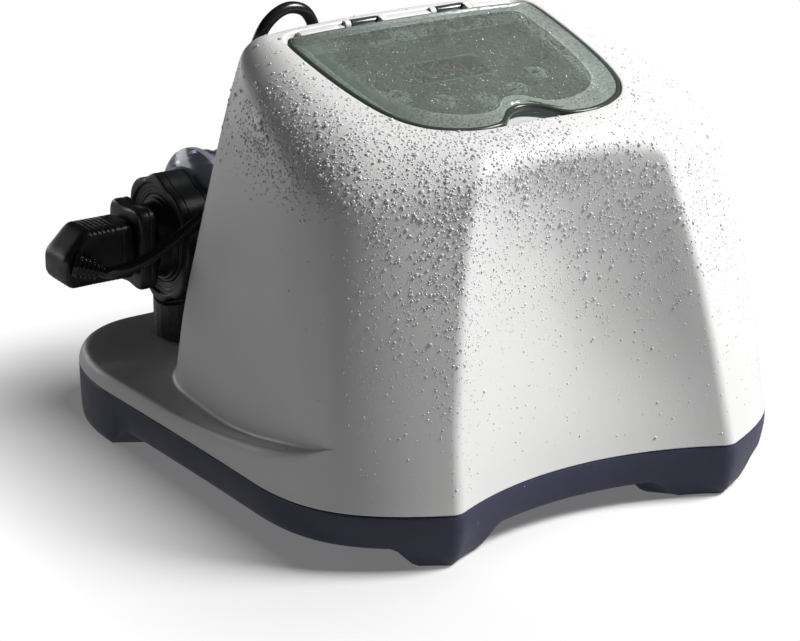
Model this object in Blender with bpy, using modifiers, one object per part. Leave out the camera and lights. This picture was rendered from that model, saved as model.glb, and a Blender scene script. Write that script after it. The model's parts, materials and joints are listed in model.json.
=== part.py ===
"""Free-standing salt chlorine generator for a family pool: a drafted housing on a footed tray, a
smoky hinged lid over the control panel, and a flow-through electrolytic cell lying on the rear deck.

Lengths below are millimetres in a working frame: X to the right, with the housing symmetric about
X = 0, Y to the back from the front creases, Z up from the floor. ORIGIN moves that frame so that the
model stands on its bounding box's bottom centre. Objects are metres."""

from math import cos, pi, radians, sin, sqrt

import bmesh
import bpy
import numpy as np
from mathutils import Matrix, Vector

for stale in list(bpy.data.objects):
    bpy.data.objects.remove(stale)

MM = 0.001
ORIGIN = (6.658, -206.484, 0.0)

# ---------------------------------------------------------------- driving dimensions
RIM_Z = 36.0  # seam between the white housing and the navy tray
WALL = 2.6
TRAY_FLOOR = 13.5  # underside of the tray's floor
FLOOR_TOP = TRAY_FLOOR + WALL
DECK_Z = 47.0  # rear deck at its edge
DECK_RISE = 1.2  # rise of the deck towards the tower
LID_SLOPE = 0.2208  # rise of the lid per mm towards the back
LID_TILT = float(np.arctan(LID_SLOPE))
LID_REAR_Y, LID_REAR_Z = 217.0, 278.5  # the lid's rear edge, and the housing's top there
LID_CENTRE = (0.0, 152.0)  # middle of the lid and of the panel, in plan
HINGE = (0.0, 220.6, 278.4)
CELL_Y, CELL_Z = 333.0, 119.0  # the cell's axis, which runs along X
CELL_CENTRE = (0, CELL_Y, CELL_Z)

# Tower outline by height: (z, value). The crease is the vertical edge at either end of the front.
CREASE_X = [(36, 101.5), (86, 96.7), (115, 92.3), (144, 87.9), (190, 78.2), (222, 69.0), (245, 61.0)]
CREASE_Y = [(36, 0), (86, 10), (144, 19.9), (203, 30.5), (245, 38)]
HOLLOW = [(36, 26), (120, 23), (180, 17), (210, 12), (228, 6), (240, 1.5), (250, 0)]
SIDE_X = [(50, 166), (100, 164), (150, 159), (200, 151.5), (235, 144), (270, 134)]
BACK_X = [(50, 160), (100, 156.5), (150, 148), (200, 138), (235, 130), (270, 120)]
CORNER_X = [(50, 108), (150, 96), (235, 88), (270, 84)]
CORNER_Y = [(50, 288), (150, 266), (235, 244), (270, 234)]
# (x, y) of the lid opening's half outline, from the front centre to the rear centre
OPENING = [
    (0, 72.0), (12, 71.6), (24, 71.2), (36, 71.4), (49, 73.6), (62, 79.4), (72.5, 87),
    (81.5, 99.5), (87, 115), (90.2, 131), (92.6, 151), (94, 174), (94.4, 197), (93.6, 212),
    (91.4, 218.6), (86.5, 222.9), (80, 224.2), (55, 224.6), (28, 224.6), (0, 224.6),
]
# where the plan's corners meet the opening
OPENING_KEYS = [(54, 75.5), (88.8, 122), (94.3, 197), (84, 223.8)]
SCOOP_HALF_WIDTH = 27.0  # finger scoop at the front of the opening

# pieces along each half outline: front, front corner, side, rear corner, rear
HOUSING_COUNTS = (4, 6, 4, 5, 3)
PANEL_COUNTS = (7, 7, 5, 5, 4)
TRAY_COUNTS = (24, 40, 30, 40, 16)

# each cord's entry through the tower's rear wall: x, z, gland radius, cord radius
GLANDS = {
    "cell_gland": (-45.0, 176.0, 6.6, 3.9),
    "sensor_gland": (20.0, 196.0, 5.4, 2.8),
    "mains_gland": (62.0, 170.0, 7.0, 4.2),
}

SIDES = (("right", 1), ("left", -1))
SIGN_PAIRS = [(sign_x, sign_y) for sign_x in (-1, 1) for sign_y in (-1, 1)]

# Rotations that lay a piece's own Z along an axis; TILTED stands it square to the lid's slope.
ALONG_X = (0, pi / 2, 0)
ALONG_Y = (-pi / 2, 0, 0)
UPRIGHT = (0, 0, 0)
ON_EDGE = (pi / 2, 0, 0)  # a flat outline's y becomes Z
TILTED = (LID_TILT, 0, 0)


# ---------------------------------------------------------------- lines and outlines
def curve_at(table, z):
    """Smooth curve through a table, straight beyond its ends."""
    stations = np.array([entry[0] for entry in table], float)
    values = np.array([entry[1] for entry in table], float)
    steps = np.diff(values) / np.diff(stations)
    slopes = np.empty_like(values)
    slopes[0], slopes[-1] = steps[0], steps[-1]
    slopes[1:-1] = (steps[:-1] + steps[1:]) / 2
    if z <= stations[0]:
        return values[0] + (z - stations[0]) * slopes[0]
    if z >= stations[-1]:
        return values[-1] + (z - stations[-1]) * slopes[-1]
    i = int(np.searchsorted(stations, z) - 1)
    gap = stations[i + 1] - stations[i]
    part = (z - stations[i]) / gap
    return ((2 * part**3 - 3 * part**2 + 1) * values[i]
            + (part**3 - 2 * part**2 + part) * gap * slopes[i]
            + (-2 * part**3 + 3 * part**2) * values[i + 1]
            + (part**3 - part**2) * gap * slopes[i + 1])


def smoothstep(part):
    return part * part * (3 - 2 * part)


def bezier_at(part, start, start_pull, end_pull, end):
    return ((1 - part) ** 3 * start + 3 * (1 - part) ** 2 * part * start_pull
            + 3 * (1 - part) * part * part * end_pull + part**3 * end)


def bezier(start, start_pull, end_pull, end, pieces, keep_end=False):
    part = np.linspace(0, 1, pieces + 1)[:, None]
    if not keep_end:
        part = part[:-1]
    return bezier_at(part, *(np.array(p, float) for p in (start, start_pull, end_pull, end)))


def smooth_line(points, pieces):
    """Catmull-Rom line through the points, with this many pieces between neighbours."""
    points = np.array(points, float)
    padded = np.vstack([2 * points[0] - points[1], points, 2 * points[-1] - points[-2]])
    line = []
    for i in range(1, len(padded) - 2):
        before, start, end, after = padded[i - 1:i + 3]
        for k in range(pieces):
            part = k / pieces
            line.append(0.5 * ((2 * start) + (-before + end) * part
                               + (2 * before - 5 * start + 4 * end - after) * part * part
                               + (-before + 3 * start - 3 * end + after) * part**3))
    line.append(points[-1])
    return np.array(line)


def lengths_along(line):
    """Distance of each point of a line from its start."""
    return np.r_[0, np.cumsum(np.linalg.norm(np.diff(line, axis=0), axis=1))]


def points_at(line, lengths, where):
    """Points of a plan line at these distances from its start."""
    return np.c_[np.interp(where, lengths, line[:, 0]), np.interp(where, lengths, line[:, 1])]


def nearest_length(line, lengths, point):
    return float(lengths[np.argmin(np.linalg.norm(line - point, axis=1))])


def inward(outline, amount):
    """Each point of a half outline moved towards the inside, square to the outline."""
    mirror = (-1, 1)
    padded = np.vstack([outline[1] * mirror, outline, outline[-2] * mirror])
    tangent = padded[2:] - padded[:-2]
    tangent /= np.linalg.norm(tangent, axis=1)[:, None]
    normal = np.c_[-tangent[:, 1], tangent[:, 0]]
    moved_outline = outline + normal * np.asarray(amount, float).reshape(-1, 1)
    moved_outline[0, 0] = moved_outline[-1, 0] = 0
    return moved_outline


def at_height(plan, heights):
    """Plan points with a z each, from one height or one per point."""
    return np.c_[plan, np.asarray(heights) * np.ones(len(plan))]


def full_rows(rows):
    """Both halves of rows of a right half, as closed rings that run anticlockwise from above."""
    left = rows[:, -2:0:-1].copy()
    left[..., 0] *= -1
    return np.concatenate([rows, left], axis=1)


def ring(count, radius):
    return [(radius * cos(2 * pi * k / count), radius * sin(2 * pi * k / count))
            for k in range(count)]


def moved(loop, shift_x, shift_y):
    return [(x + shift_x, y + shift_y) for x, y in loop]


def lobed(count, radius, depth, lobes=8):
    """Outline of a grip nut, with soft lobes."""
    outline = []
    for k in range(count):
        angle = 2 * pi * k / count
        reach = radius - depth * (0.5 - 0.5 * cos(lobes * angle)) ** 1.5
        outline.append((reach * cos(angle), reach * sin(angle)))
    return outline


def rounded(width, height, radius, pieces=4):
    """Rectangle with round corners."""
    outline = []
    for sign_x, sign_y, start in ((1, 1, 0), (-1, 1, 90), (-1, -1, 180), (1, -1, 270)):
        x, y = sign_x * (width / 2 - radius), sign_y * (height / 2 - radius)
        for k in range(pieces + 1):
            angle = radians(start + 90 * k / pieces)
            outline.append((x + radius * cos(angle), y + radius * sin(angle)))
    return outline


# ---------------------------------------------------------------- shared outlines of the body
def half_plan(crease, hollow, crease_reach, side, side_reach, back, back_reach,
              corner, corner_reach, rear_y, counts):
    """Half outline: front centre, crease, side, rear corner, rear centre.
    Each reach is the length of a curve's handle at that point."""
    crease_x, crease_y = crease
    front_x = np.linspace(0, crease_x, counts[0] + 1)[:-1]
    if hollow > 0.01:
        radius = (crease_x * crease_x + hollow * hollow) / (2 * hollow)
        front_y = crease_y + hollow - (radius - np.sqrt(radius * radius - front_x * front_x))
    else:
        front_y = np.full_like(front_x, crease_y)
    leave = radians(25)
    side, back, corner = (np.array(point, float) for point in (side, back, corner))
    crease_pull = (crease_x + crease_reach * cos(leave), crease_y + crease_reach * sin(leave))
    front_corner = bezier(crease, crease_pull, (side[0], side[1] - side_reach), side, counts[1])
    span = np.linalg.norm(back - side)
    side_pull = (side[0] + (back[0] - side[0]) * 0.12, side[1] + span * 0.33)
    back_pull = np.array((back[0] - (back[0] - side[0]) * 0.45, back[1] - span * 0.33))
    flank = bezier(side, side_pull, back_pull, back, counts[2])
    onward = (back - back_pull) / np.linalg.norm(back - back_pull)
    rear_corner = bezier(back, back + onward * back_reach,
                         (corner[0] + corner_reach, corner[1]), corner, counts[3])
    rear = bezier(corner, (corner[0] * 0.66, corner[1] + (rear_y - corner[1]) * 0.6),
                  (corner[0] * 0.33, rear_y), (0, rear_y), counts[4], keep_end=True)
    return np.vstack([np.c_[front_x, front_y], front_corner, flank, rear_corner, rear])


def rim_plan(counts):
    """Half outline of the seam."""
    return half_plan(
        crease=(CREASE_X[0][1], CREASE_Y[0][1]), hollow=HOLLOW[0][1], crease_reach=66,
        side=(181, 115), side_reach=60, back=(186.5, 290), back_reach=58,
        corner=(118, 394), corner_reach=45, rear_y=396, counts=counts)


def tower_plan(z, counts):
    """Half outline of the tower at a height."""
    lift = (z - 50) / 160.0
    corner = (curve_at(CORNER_X, z), curve_at(CORNER_Y, z))
    return half_plan(
        crease=(curve_at(CREASE_X, z), curve_at(CREASE_Y, z)),
        hollow=max(0.0, curve_at(HOLLOW, z)), crease_reach=66 - 4 * lift,
        side=(curve_at(SIDE_X, z), 100 + 14 * lift), side_reach=60 - 8 * lift,
        back=(curve_at(BACK_X, z), 228 - 14 * lift), back_reach=34,
        corner=corner, corner_reach=32, rear_y=corner[1] + 1.5, counts=counts)


def top_z(x, y):
    """Height of the housing's crowned, sloping top."""
    x, y = np.abs(np.asarray(x, float)), np.asarray(y, float)
    return (LID_REAR_Z - LID_SLOPE * (LID_REAR_Y - y) - 2.2 * (x / 92.0) ** 2.2
            - 0.006 * np.maximum(0, y - 222) ** 2)


def opening_plan(counts):
    """The lid opening's half outline, with its keys as stations."""
    line = smooth_line(OPENING, 4)
    lengths = lengths_along(line)
    keys = [nearest_length(line, lengths, key) for key in OPENING_KEYS]
    keys = [0.0] + keys + [lengths[-1]]
    parts = [np.linspace(keys[i], keys[i + 1], counts[i] + 1)[:-1] for i in range(5)]
    return points_at(line, lengths, np.concatenate(parts + [[lengths[-1]]]))


def scoop_share(mouth):
    """Depth of the finger scoop at each point of the opening, 1 at the front centre."""
    share = 0.5 + 0.5 * np.cos(np.clip(mouth[:, 0] / SCOOP_HALF_WIDTH, 0, 1) * pi)
    share[len(share) // 2:] = 0
    return share


def rear_wall(x, z):
    """y of the outer rear wall at this x and z."""
    counts = (4, 4, 4, 12, 16)
    rear = tower_plan(z, counts)[-(counts[3] + counts[4] + 1):]
    order = np.argsort(rear[:, 0])
    return float(np.interp(abs(x), rear[order, 0], rear[order, 1]))


# ---------------------------------------------------------------- collections and materials
model = bpy.data.collections.new("salt_chlorine_generator")
bpy.context.scene.collection.children.link(model)
cutters = bpy.data.collections.new("cutters")
cutters.hide_render = True
bpy.context.scene.collection.children.link(cutters)
root = bpy.data.objects.new("generator_root", None)
root.location = Vector(ORIGIN) * MM
model.objects.link(root)

# material: (base colour, roughness, metallic)
PALETTE = {
    "white_plastic": ((0.80, 0.80, 0.79), 0.38, 0.0),
    "navy_plastic": ((0.028, 0.031, 0.062), 0.42, 0.0),
    "smoky_lid": ((0.22, 0.27, 0.26), 0.12, 0.0),
    "panel_plastic": ((0.06, 0.075, 0.10), 0.4, 0.0),
    "window_plastic": ((0.015, 0.015, 0.02), 0.08, 0.0),
    "button_plastic": ((0.60, 0.63, 0.66), 0.35, 0.0),
    "black_plastic": ((0.012, 0.013, 0.014), 0.45, 0.0),
    "black_rubber": ((0.016, 0.016, 0.017), 0.35, 0.0),
    "seal_rubber": ((0.02, 0.02, 0.02), 0.7, 0.0),
    "cell_plastic": ((0.20, 0.22, 0.27), 0.1, 0.0),
    "titanium": ((0.42, 0.41, 0.40), 0.45, 0.9),
    "board_green": ((0.02, 0.16, 0.07), 0.5, 0.0),
    "steel": ((0.60, 0.60, 0.61), 0.3, 1.0),
    "aluminium": ((0.72, 0.73, 0.75), 0.35, 1.0),
    "brass": ((0.75, 0.58, 0.28), 0.3, 1.0),
    "copper": ((0.62, 0.26, 0.12), 0.4, 1.0),
    "iron": ((0.17, 0.17, 0.18), 0.5, 0.8),
    "component_blue": ((0.03, 0.10, 0.32), 0.35, 0.0),
    "component_black": ((0.03, 0.03, 0.03), 0.4, 0.0),
    "terminal_green": ((0.05, 0.30, 0.14), 0.45, 0.0),
    "display_grey": ((0.30, 0.31, 0.32), 0.3, 0.0),
}


def make_material(name, colour, roughness, metallic):
    material = bpy.data.materials.new(name)
    material.use_nodes = True
    shader = material.node_tree.nodes["Principled BSDF"]
    shader.inputs["Base Color"].default_value = (*colour, 1)
    shader.inputs["Roughness"].default_value = roughness
    shader.inputs["Metallic"].default_value = metallic
    material.diffuse_color = (*colour, 1)
    return material


MATERIALS = {name: make_material(name, *look) for name, look in PALETTE.items()}


# ---------------------------------------------------------------- Blender helpers
def finish(obj, material, pivot=None):
    """Files a piece under the root, with its origin at pivot (mm, working frame).
    A piece without a material is a helper for a Boolean."""
    (model if material else cutters).objects.link(obj)
    obj.parent = root
    if not material:
        obj.hide_render = True
        obj.display_type = "WIRE"
        return obj
    obj.data.materials.append(MATERIALS[material])
    if pivot is not None:
        turn = obj.matrix_basis.to_3x3().inverted()
        shift = turn @ (Vector(pivot) * MM - obj.location)
        obj.data.transform(Matrix.Translation(-shift))
        obj.location = Vector(pivot) * MM
    if obj.type == "MESH":
        obj.data.shade_smooth()
        obj.data.set_sharp_from_angle(angle=radians(35))
    return obj


def put_mesh(name, bm, material, location=(0, 0, 0), rotation=UPRIGHT, pivot=None):
    data = bpy.data.meshes.new(name)
    bm.to_mesh(data)
    bm.free()
    obj = bpy.data.objects.new(name, data)
    obj.location = Vector(location) * MM
    obj.rotation_euler = rotation
    return finish(obj, material, pivot)


def bevel_edges(bm, edges, offset, segments):
    bmesh.ops.bevel(bm, geom=edges, offset=offset * MM, segments=segments, profile=0.5,
                    affect="EDGES", clamp_overlap=True)


def is_level(edge):
    return abs(edge.verts[0].co.z - edge.verts[1].co.z) < 1e-7


def box(name, size, centre, material=None, bevel=0.0, rotation=UPRIGHT, segments=1):
    bm = bmesh.new()
    scale = Matrix.Diagonal((*(length * MM for length in size), 1))
    bmesh.ops.create_cube(bm, size=1, matrix=scale)
    if bevel:
        bevel_edges(bm, bm.edges[:], bevel, segments)
    return put_mesh(name, bm, material, centre, rotation)


def rod(name, radius, length, centre, rotation, material=None, sides=20, bevel=0.0, pivot=None):
    bm = bmesh.new()
    bmesh.ops.create_cone(bm, cap_ends=True, segments=sides, radius1=radius * MM,
                          radius2=radius * MM, depth=length * MM)
    if bevel:
        bevel_edges(bm, [edge for edge in bm.edges if is_level(edge)], bevel, 2)
    return put_mesh(name, bm, material, centre, rotation, pivot)


def turned(name, profile, centre, rotation, material=None, steps=20):
    """Solid of revolution: (radius, height) points, closed to themselves or to the axis."""
    points = [(float(radius), float(height)) for radius, height in profile]
    area = sum(a[0] * b[1] - b[0] * a[1] for a, b in zip(points, points[1:] + points[:1]))
    if area > 0:
        points = points[::-1]
    to_axis = min(radius for radius, _ in points) < 1e-6
    if to_axis:
        while not (points[0][0] < 1e-6 and points[-1][0] < 1e-6):
            points = points[1:] + points[:1]
    bm = bmesh.new()
    verts = [bm.verts.new((radius * MM, 0, height * MM)) for radius, height in points]
    for pair in zip(verts, verts[1:] + ([] if to_axis else verts[:1])):
        bm.edges.new(pair)
    obj = put_mesh(name, bm, material, centre, rotation)
    screw = obj.modifiers.new("turn", "SCREW")
    screw.axis = "Z"
    screw.angle = 2 * pi
    screw.screw_offset = 0
    screw.steps = screw.render_steps = steps
    screw.use_merge_vertices = True
    screw.merge_threshold = 0.000005
    screw.use_smooth_shade = True
    return obj


def plate(name, loops, thickness, centre, rotation, material=None, bevel=0.0, pivot=None):
    """A flat plate from closed outlines (the first is the outside, the rest are holes)."""
    data = bpy.data.curves.new(name + "_outline", "CURVE")
    data.dimensions = "2D"
    data.fill_mode = "BOTH"
    data.extrude = thickness / 2 * MM
    for loop in loops:
        spline = data.splines.new("POLY")
        spline.points.add(len(loop) - 1)
        for point, (x, y) in zip(spline.points, loop):
            point.co = (x * MM, y * MM, 0, 1)
        spline.use_cyclic_u = True
    guide = bpy.data.objects.new(name + "_outline", data)
    bpy.context.scene.collection.objects.link(guide)
    bpy.context.view_layer.update()
    depsgraph = bpy.context.evaluated_depsgraph_get()
    mesh = bpy.data.meshes.new_from_object(guide.evaluated_get(depsgraph))
    bpy.data.objects.remove(guide)
    bm = bmesh.new()
    bm.from_mesh(mesh)
    bmesh.ops.remove_doubles(bm, verts=bm.verts[:], dist=1e-6)
    bmesh.ops.recalc_face_normals(bm, faces=bm.faces[:])
    if bevel:
        ends = [edge for edge in bm.edges if edge.is_manifold
                and edge.calc_face_angle(0) > radians(60) and is_level(edge)]
        bevel_edges(bm, ends, bevel, 1)
    return put_mesh(name, bm, material, centre, rotation, pivot)


def cord(name, path, radius):
    """A round cord along a smooth line through the points."""
    points = smooth_line(path, 3)
    data = bpy.data.curves.new(name, "CURVE")
    data.dimensions = "3D"
    data.bevel_depth = radius * MM
    data.bevel_resolution = 1
    data.use_fill_caps = True
    spline = data.splines.new("POLY")
    spline.points.add(len(points) - 1)
    for point, place in zip(spline.points, points):
        point.co = (*(float(value) * MM for value in place), 1)
    return finish(bpy.data.objects.new(name, data), "black_rubber")


def combine(obj, other, operation):
    boolean = obj.modifiers.new(operation.lower(), "BOOLEAN")
    boolean.operation = operation
    boolean.solver = "EXACT"
    boolean.object = other


def add(obj, other):
    combine(obj, other, "UNION")


def cut(obj, other):
    combine(obj, other, "DIFFERENCE")


def loft(rings):
    """Mesh with faces between neighbouring rings, and its vertices ring by ring."""
    bm = bmesh.new()
    verts = [[bm.verts.new(Vector(point) * MM) for point in row] for row in rings]
    count = len(rings[0])
    for lower, upper in zip(verts, verts[1:]):
        for j in range(count):
            k = (j + 1) % count
            bm.faces.new((lower[j], lower[k], upper[k], upper[j]))
    return bm, verts


def cap_fan(bm, verts, points, flip):
    """Closes one ring with a fan round its mean point."""
    middle = bm.verts.new(Vector(np.mean(points, axis=0)) * MM)
    for here, after in zip(verts, verts[1:] + verts[:1]):
        bm.faces.new((after, here, middle) if flip else (here, after, middle))


def add_wall(obj):
    """Gives a lofted skin its wall."""
    solidify = obj.modifiers.new("wall", "SOLIDIFY")
    solidify.thickness = WALL * MM
    solidify.offset = -1
    solidify.use_even_offset = True
    solidify.use_rim = True


# ---------------------------------------------------------------- housing
FRONT_DECK_Z = 80.0  # height the deck's edge starts from at the front
DECK_EDGE_R = 9.0
DECK_FILLET_R = 4.5
FULL_DECK_GAP = 15.5  # from this width on, the deck has its full edge and fillet
# Rows into the opening: a step, the ledge under the lid, and the well's wall.
# Columns: inward move, the same in the finger scoop, drop, the same in the scoop.
OPENING_STEPS = [
    (0.35, 9.0, 6.4, 5.2), (7.0, 22.0, 6.6, 8.4), (7.6, 23.5, 8.7, 10.8), (7.8, 24.0, 20.0, 20.0),
]


def tower_wall(rim):
    """Function that gives the tower's half outline for a height at each of its points."""
    levels = np.linspace(30, 300, 55)
    plans = np.array([tower_plan(z, HOUSING_COUNTS) for z in levels])

    def plain_wall(heights):
        return np.array([[np.interp(heights[i], levels, plans[:, i, k]) for k in (0, 1)]
                         for i in range(len(rim))])

    # ahead of the deck the tower stands straight on the seam, and the deck opens gradually behind
    behind = smoothstep(np.clip((rim[:, 1] - 30) / 45.0, 0, 1))
    flush = (rim - plain_wall(np.full(len(rim), RIM_Z))) * (1 - behind)[:, None]

    def wall_at(heights):
        fade = smoothstep(np.clip((225 - heights) / (225 - RIM_Z), 0, 1))
        return plain_wall(heights) + flush * fade[:, None]

    return wall_at


def deck_rows(rim, wall_at, columns):
    """Rows from the seam over the deck to the foot of the tower, and that foot's heights."""
    count = len(rim)
    foot = wall_at(np.full(count, RIM_Z))
    foot[0, 0] = foot[-1, 0] = 0
    out = rim - foot
    gap = np.linalg.norm(out, axis=1)
    away = np.zeros_like(out)
    away[gap > 1e-6] = out[gap > 1e-6] / gap[gap > 1e-6][:, None]
    behind = np.clip((rim[:, 1] - 20) / 210, 0, 1)
    behind[: columns[1] + 1] = 0
    deck = FRONT_DECK_Z - (FRONT_DECK_Z - DECK_Z) * (1 - (1 - behind) ** 1.6)
    deck = np.where(np.arange(count) > columns[3], DECK_Z, deck)
    share = np.clip(gap / FULL_DECK_GAP, 0, 1)
    edge, fillet, rise = DECK_EDGE_R * share, DECK_FILLET_R * share, DECK_RISE * share

    def row(offset, heights):
        return at_height(wall_at(heights) + away * offset[:, None], heights)

    rows = [at_height(rim, RIM_Z), at_height(rim, RIM_Z + 0.8), row(gap, deck - edge)]
    for angle in (pi / 4, pi / 2):
        rows.append(row(gap - edge * (1 - cos(angle)), deck - edge + edge * sin(angle)))
    for part in (0.5, 1.0):
        rows.append(row((gap - edge) * (1 - part) + fillet * part, deck + rise * part))
    start = deck + rise + fillet
    rows.append(at_height(wall_at(start), start))
    return rows, start


def wall_rows(wall_at, start, columns):
    """Rows up the tower's wall and round its shoulder onto the top."""
    count = len(start)
    meet = np.full(count, 240.0)
    for _ in range(14):  # settle on the height at which the wall meets the top
        plan = wall_at(meet)
        meet = top_z(plan[:, 0], plan[:, 1])
    peak = at_height(wall_at(meet), meet)
    # size of the shoulder's round along the outline
    crease = columns[1]
    stations = [0, crease * 0.8, crease * 1.1, crease * 1.1 + HOUSING_COUNTS[1] * 0.3, *columns[2:]]
    radius = np.interp(np.arange(count), stations, [12, 14, 20, 33, 34, 22, 4.0, 3.6])
    low = at_height(wall_at(meet - radius), meet - radius)
    rows = []
    for k in range(1, 5):
        heights = start + (meet - radius - start) * k / 4
        rows.append(at_height(wall_at(heights), heights))
    towards = np.array([0, 150.0]) - peak[:, :2]
    towards /= np.linalg.norm(towards, axis=1)[:, None]
    towards[columns[4]:] = (0, -1)
    inner = peak[:, :2] + towards * (radius * 1.05)[:, None]
    high = np.c_[inner, top_z(inner[:, 0], inner[:, 1])]
    low_pull, high_pull = low + (peak - low) * 0.56, high + (peak - high) * 0.56
    for k in range(1, 5):
        rows.append(bezier_at(k / 4, low, low_pull, high_pull, high))
    return rows


def opening_rows():
    """Rows from the opening's mouth down into the well."""
    mouth = opening_plan(HOUSING_COUNTS)
    mouth_z = top_z(mouth[:, 0], mouth[:, 1])
    scoop = scoop_share(mouth)
    rows = [np.c_[mouth, mouth_z]]
    for move, scoop_move, drop, scoop_drop in OPENING_STEPS:
        plan = inward(mouth, move + (scoop_move - move) * scoop)
        rows.append(np.c_[plan, mouth_z - drop - (scoop_drop - drop) * scoop
                          + (plan[:, 1] - mouth[:, 1]) * LID_SLOPE])
    return rows


def build_upper_housing():
    rim = rim_plan(HOUSING_COUNTS)
    wall_at = tower_wall(rim)
    columns = np.cumsum((0,) + HOUSING_COUNTS)
    rows, start = deck_rows(rim, wall_at, columns)
    rows = np.array(rows + wall_rows(wall_at, start, columns) + opening_rows())
    rows[:, 0, 0] = rows[:, -1, 0] = 0
    bm, _ = loft(full_rows(rows))
    housing = put_mesh("upper_housing", bm, "white_plastic")
    add_wall(housing)
    for label, (x, z, radius, _) in GLANDS.items():
        cut(housing, rod(label + "_hole", radius + 0.5, 40, (x, rear_wall(x, z), z), ALONG_Y))


# ---------------------------------------------------------------- tray
# (z, inset from the rim's outline)
TRAY_INSET = [(0, 8.5), (3, 6.6), (8, 4.6), (14, 2.8), (22, 1.0), (30, 0.0), (36, 0.0)]
TRAY_STATION = 24.0  # spacing of points along the outline
FOOT_RAMP = 10  # length over which a foot runs out into the floor
BOARD_Z = 60.0
BOARD_T = 1.6
BOARD_HOLE = (86, 66)  # the board's fixings from its centre, along X and Y
BOARD_Y = 165


def tray_rows():
    """Half rows of the tray's outer skin, from the middle of its floor out and up to the seam."""
    line = rim_plan(TRAY_COUNTS)
    lengths = lengths_along(line)
    crease = lengths[TRAY_COUNTS[0]]
    rear_start = lengths[np.argmin(np.abs(line[:, 1] - 272) + (line[:, 0] < 150) * 999)]
    # feet as lengths along the half outline: (start, end)
    feet = ((crease - 32, crease + 30), (rear_start, rear_start + 74))
    marks = {0.0, lengths[-1], crease}
    for start, end in feet:
        marks.update((start - FOOT_RAMP, start - FOOT_RAMP / 2, start))
        marks.update((end, end + FOOT_RAMP / 2, end + FOOT_RAMP))
    marks = sorted(marks)
    where = [0.0]
    for start, end in zip(marks, marks[1:]):
        pieces = max(1, int(round((end - start) / TRAY_STATION)))
        where += [start + (end - start) * (k + 1) / pieces for k in range(pieces)]
    where = np.array(where)
    plan = points_at(line, lengths, where)
    foot = np.zeros(len(where))
    for start, end in feet:
        nearer = np.minimum((where - start) / FOOT_RAMP + 1, (end - where) / FOOT_RAMP + 1)
        foot = np.maximum(foot, smoothstep(np.clip(nearer, 0, 1)))
    low = TRAY_FLOOR * (1 - foot)

    def inset(heights):
        return np.array([curve_at(TRAY_INSET, z) for z in heights])

    middle = np.array([0.0, 200.0])
    towards = (middle - plan) / np.linalg.norm(middle - plan, axis=1)[:, None]
    rows = []
    for amount, heights in ((80, TRAY_FLOOR), (34, TRAY_FLOOR), (30, low)):
        floor = plan + towards * amount
        floor[0, 0] = floor[-1, 0] = 0
        rows.append(at_height(floor, heights))
    rows.append(at_height(inward(plan, inset(low) + 1.6), low))
    for part in (0.1, 0.5, 0.86, 1.0):
        heights = low + (RIM_Z - 0.35 - low) * part
        rows.append(at_height(inward(plan, inset(heights)), heights))
    return np.array(rows)


def build_base_tray():
    """The tray, with four posts under the main board."""
    rings = full_rows(tray_rows())
    bm, verts = loft(rings)
    cap_fan(bm, verts[0], rings[0], flip=True)
    tray = put_mesh("base_tray", bm, "navy_plastic")
    add_wall(tray)
    post_foot = FLOOR_TOP - 1.2
    post_top = BOARD_Z - BOARD_T / 2 - 0.35
    for sign_x, sign_y in SIGN_PAIRS:
        centre = (sign_x * BOARD_HOLE[0], BOARD_Y + sign_y * BOARD_HOLE[1],
                  (post_top + post_foot) / 2)
        add(tray, rod(f"board_post_{sign_x + 1}{sign_y + 1}", 4.0, post_top - post_foot, centre,
                      UPRIGHT, sides=8))


# ---------------------------------------------------------------- lid and hinge
LID_T = 3.0
LID_GAP = 0.6
# (x, y) of the lid's finger notch, from the front centre
NOTCH = [(0, 89.5), (6, 88.6), (11, 85.6), (15.5, 80.8), (20, 76.2), (25.5, 73.2), (33, 72.4)]
KNUCKLE_X = 32
# hinge strip's section: y, height above the housing's top
STRIP_SECTION = [(217.9, -5.9), (223.6, -5.9), (223.6, -0.9), (222.8, 0.15), (217.9, 0.15)]
STRIP_Y = 221.0
STRIP_HALF_LENGTH = 79.0


def lid_plan(notch_pieces=6, side_pieces=16, rear_pieces=4):
    """Half outline: finger notch, the opening's outline less a gap, squared off at the hinge."""
    edge = inward(opening_plan(HOUSING_COUNTS), LID_GAP)
    fine = [edge[0]]
    for start, end in zip(edge, edge[1:]):
        fine += [start + (end - start) * (k + 1) / 6 for k in range(6)]
    tail = [point for point in fine if point[0] > 34.0 and point[1] < LID_REAR_Y]
    line = np.vstack([smooth_line(NOTCH, 3), tail, [(tail[-1][0] - 0.4, LID_REAR_Y)]])
    lengths = lengths_along(line)
    notch_end = lengths[3 * (len(NOTCH) - 1)]
    where = np.r_[np.linspace(0, notch_end, notch_pieces + 1)[:-1],
                  np.linspace(notch_end, lengths[-1], side_pieces + 1)]
    # keep the outline's own corners as stations
    for point in edge:
        if point[0] > 36 and point[1] < 215:
            corner = nearest_length(line, lengths, point)
            k = int(np.argmin(np.abs(where - corner)))
            if 0 < k < len(where) - 1:
                where[k] = corner
    half = points_at(line, lengths, where)
    rear_x = np.linspace(half[-1, 0], 0, rear_pieces + 1)[1:]
    return np.vstack([half, np.c_[rear_x, np.full(rear_pieces, half[-1, 1])]])


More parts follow.
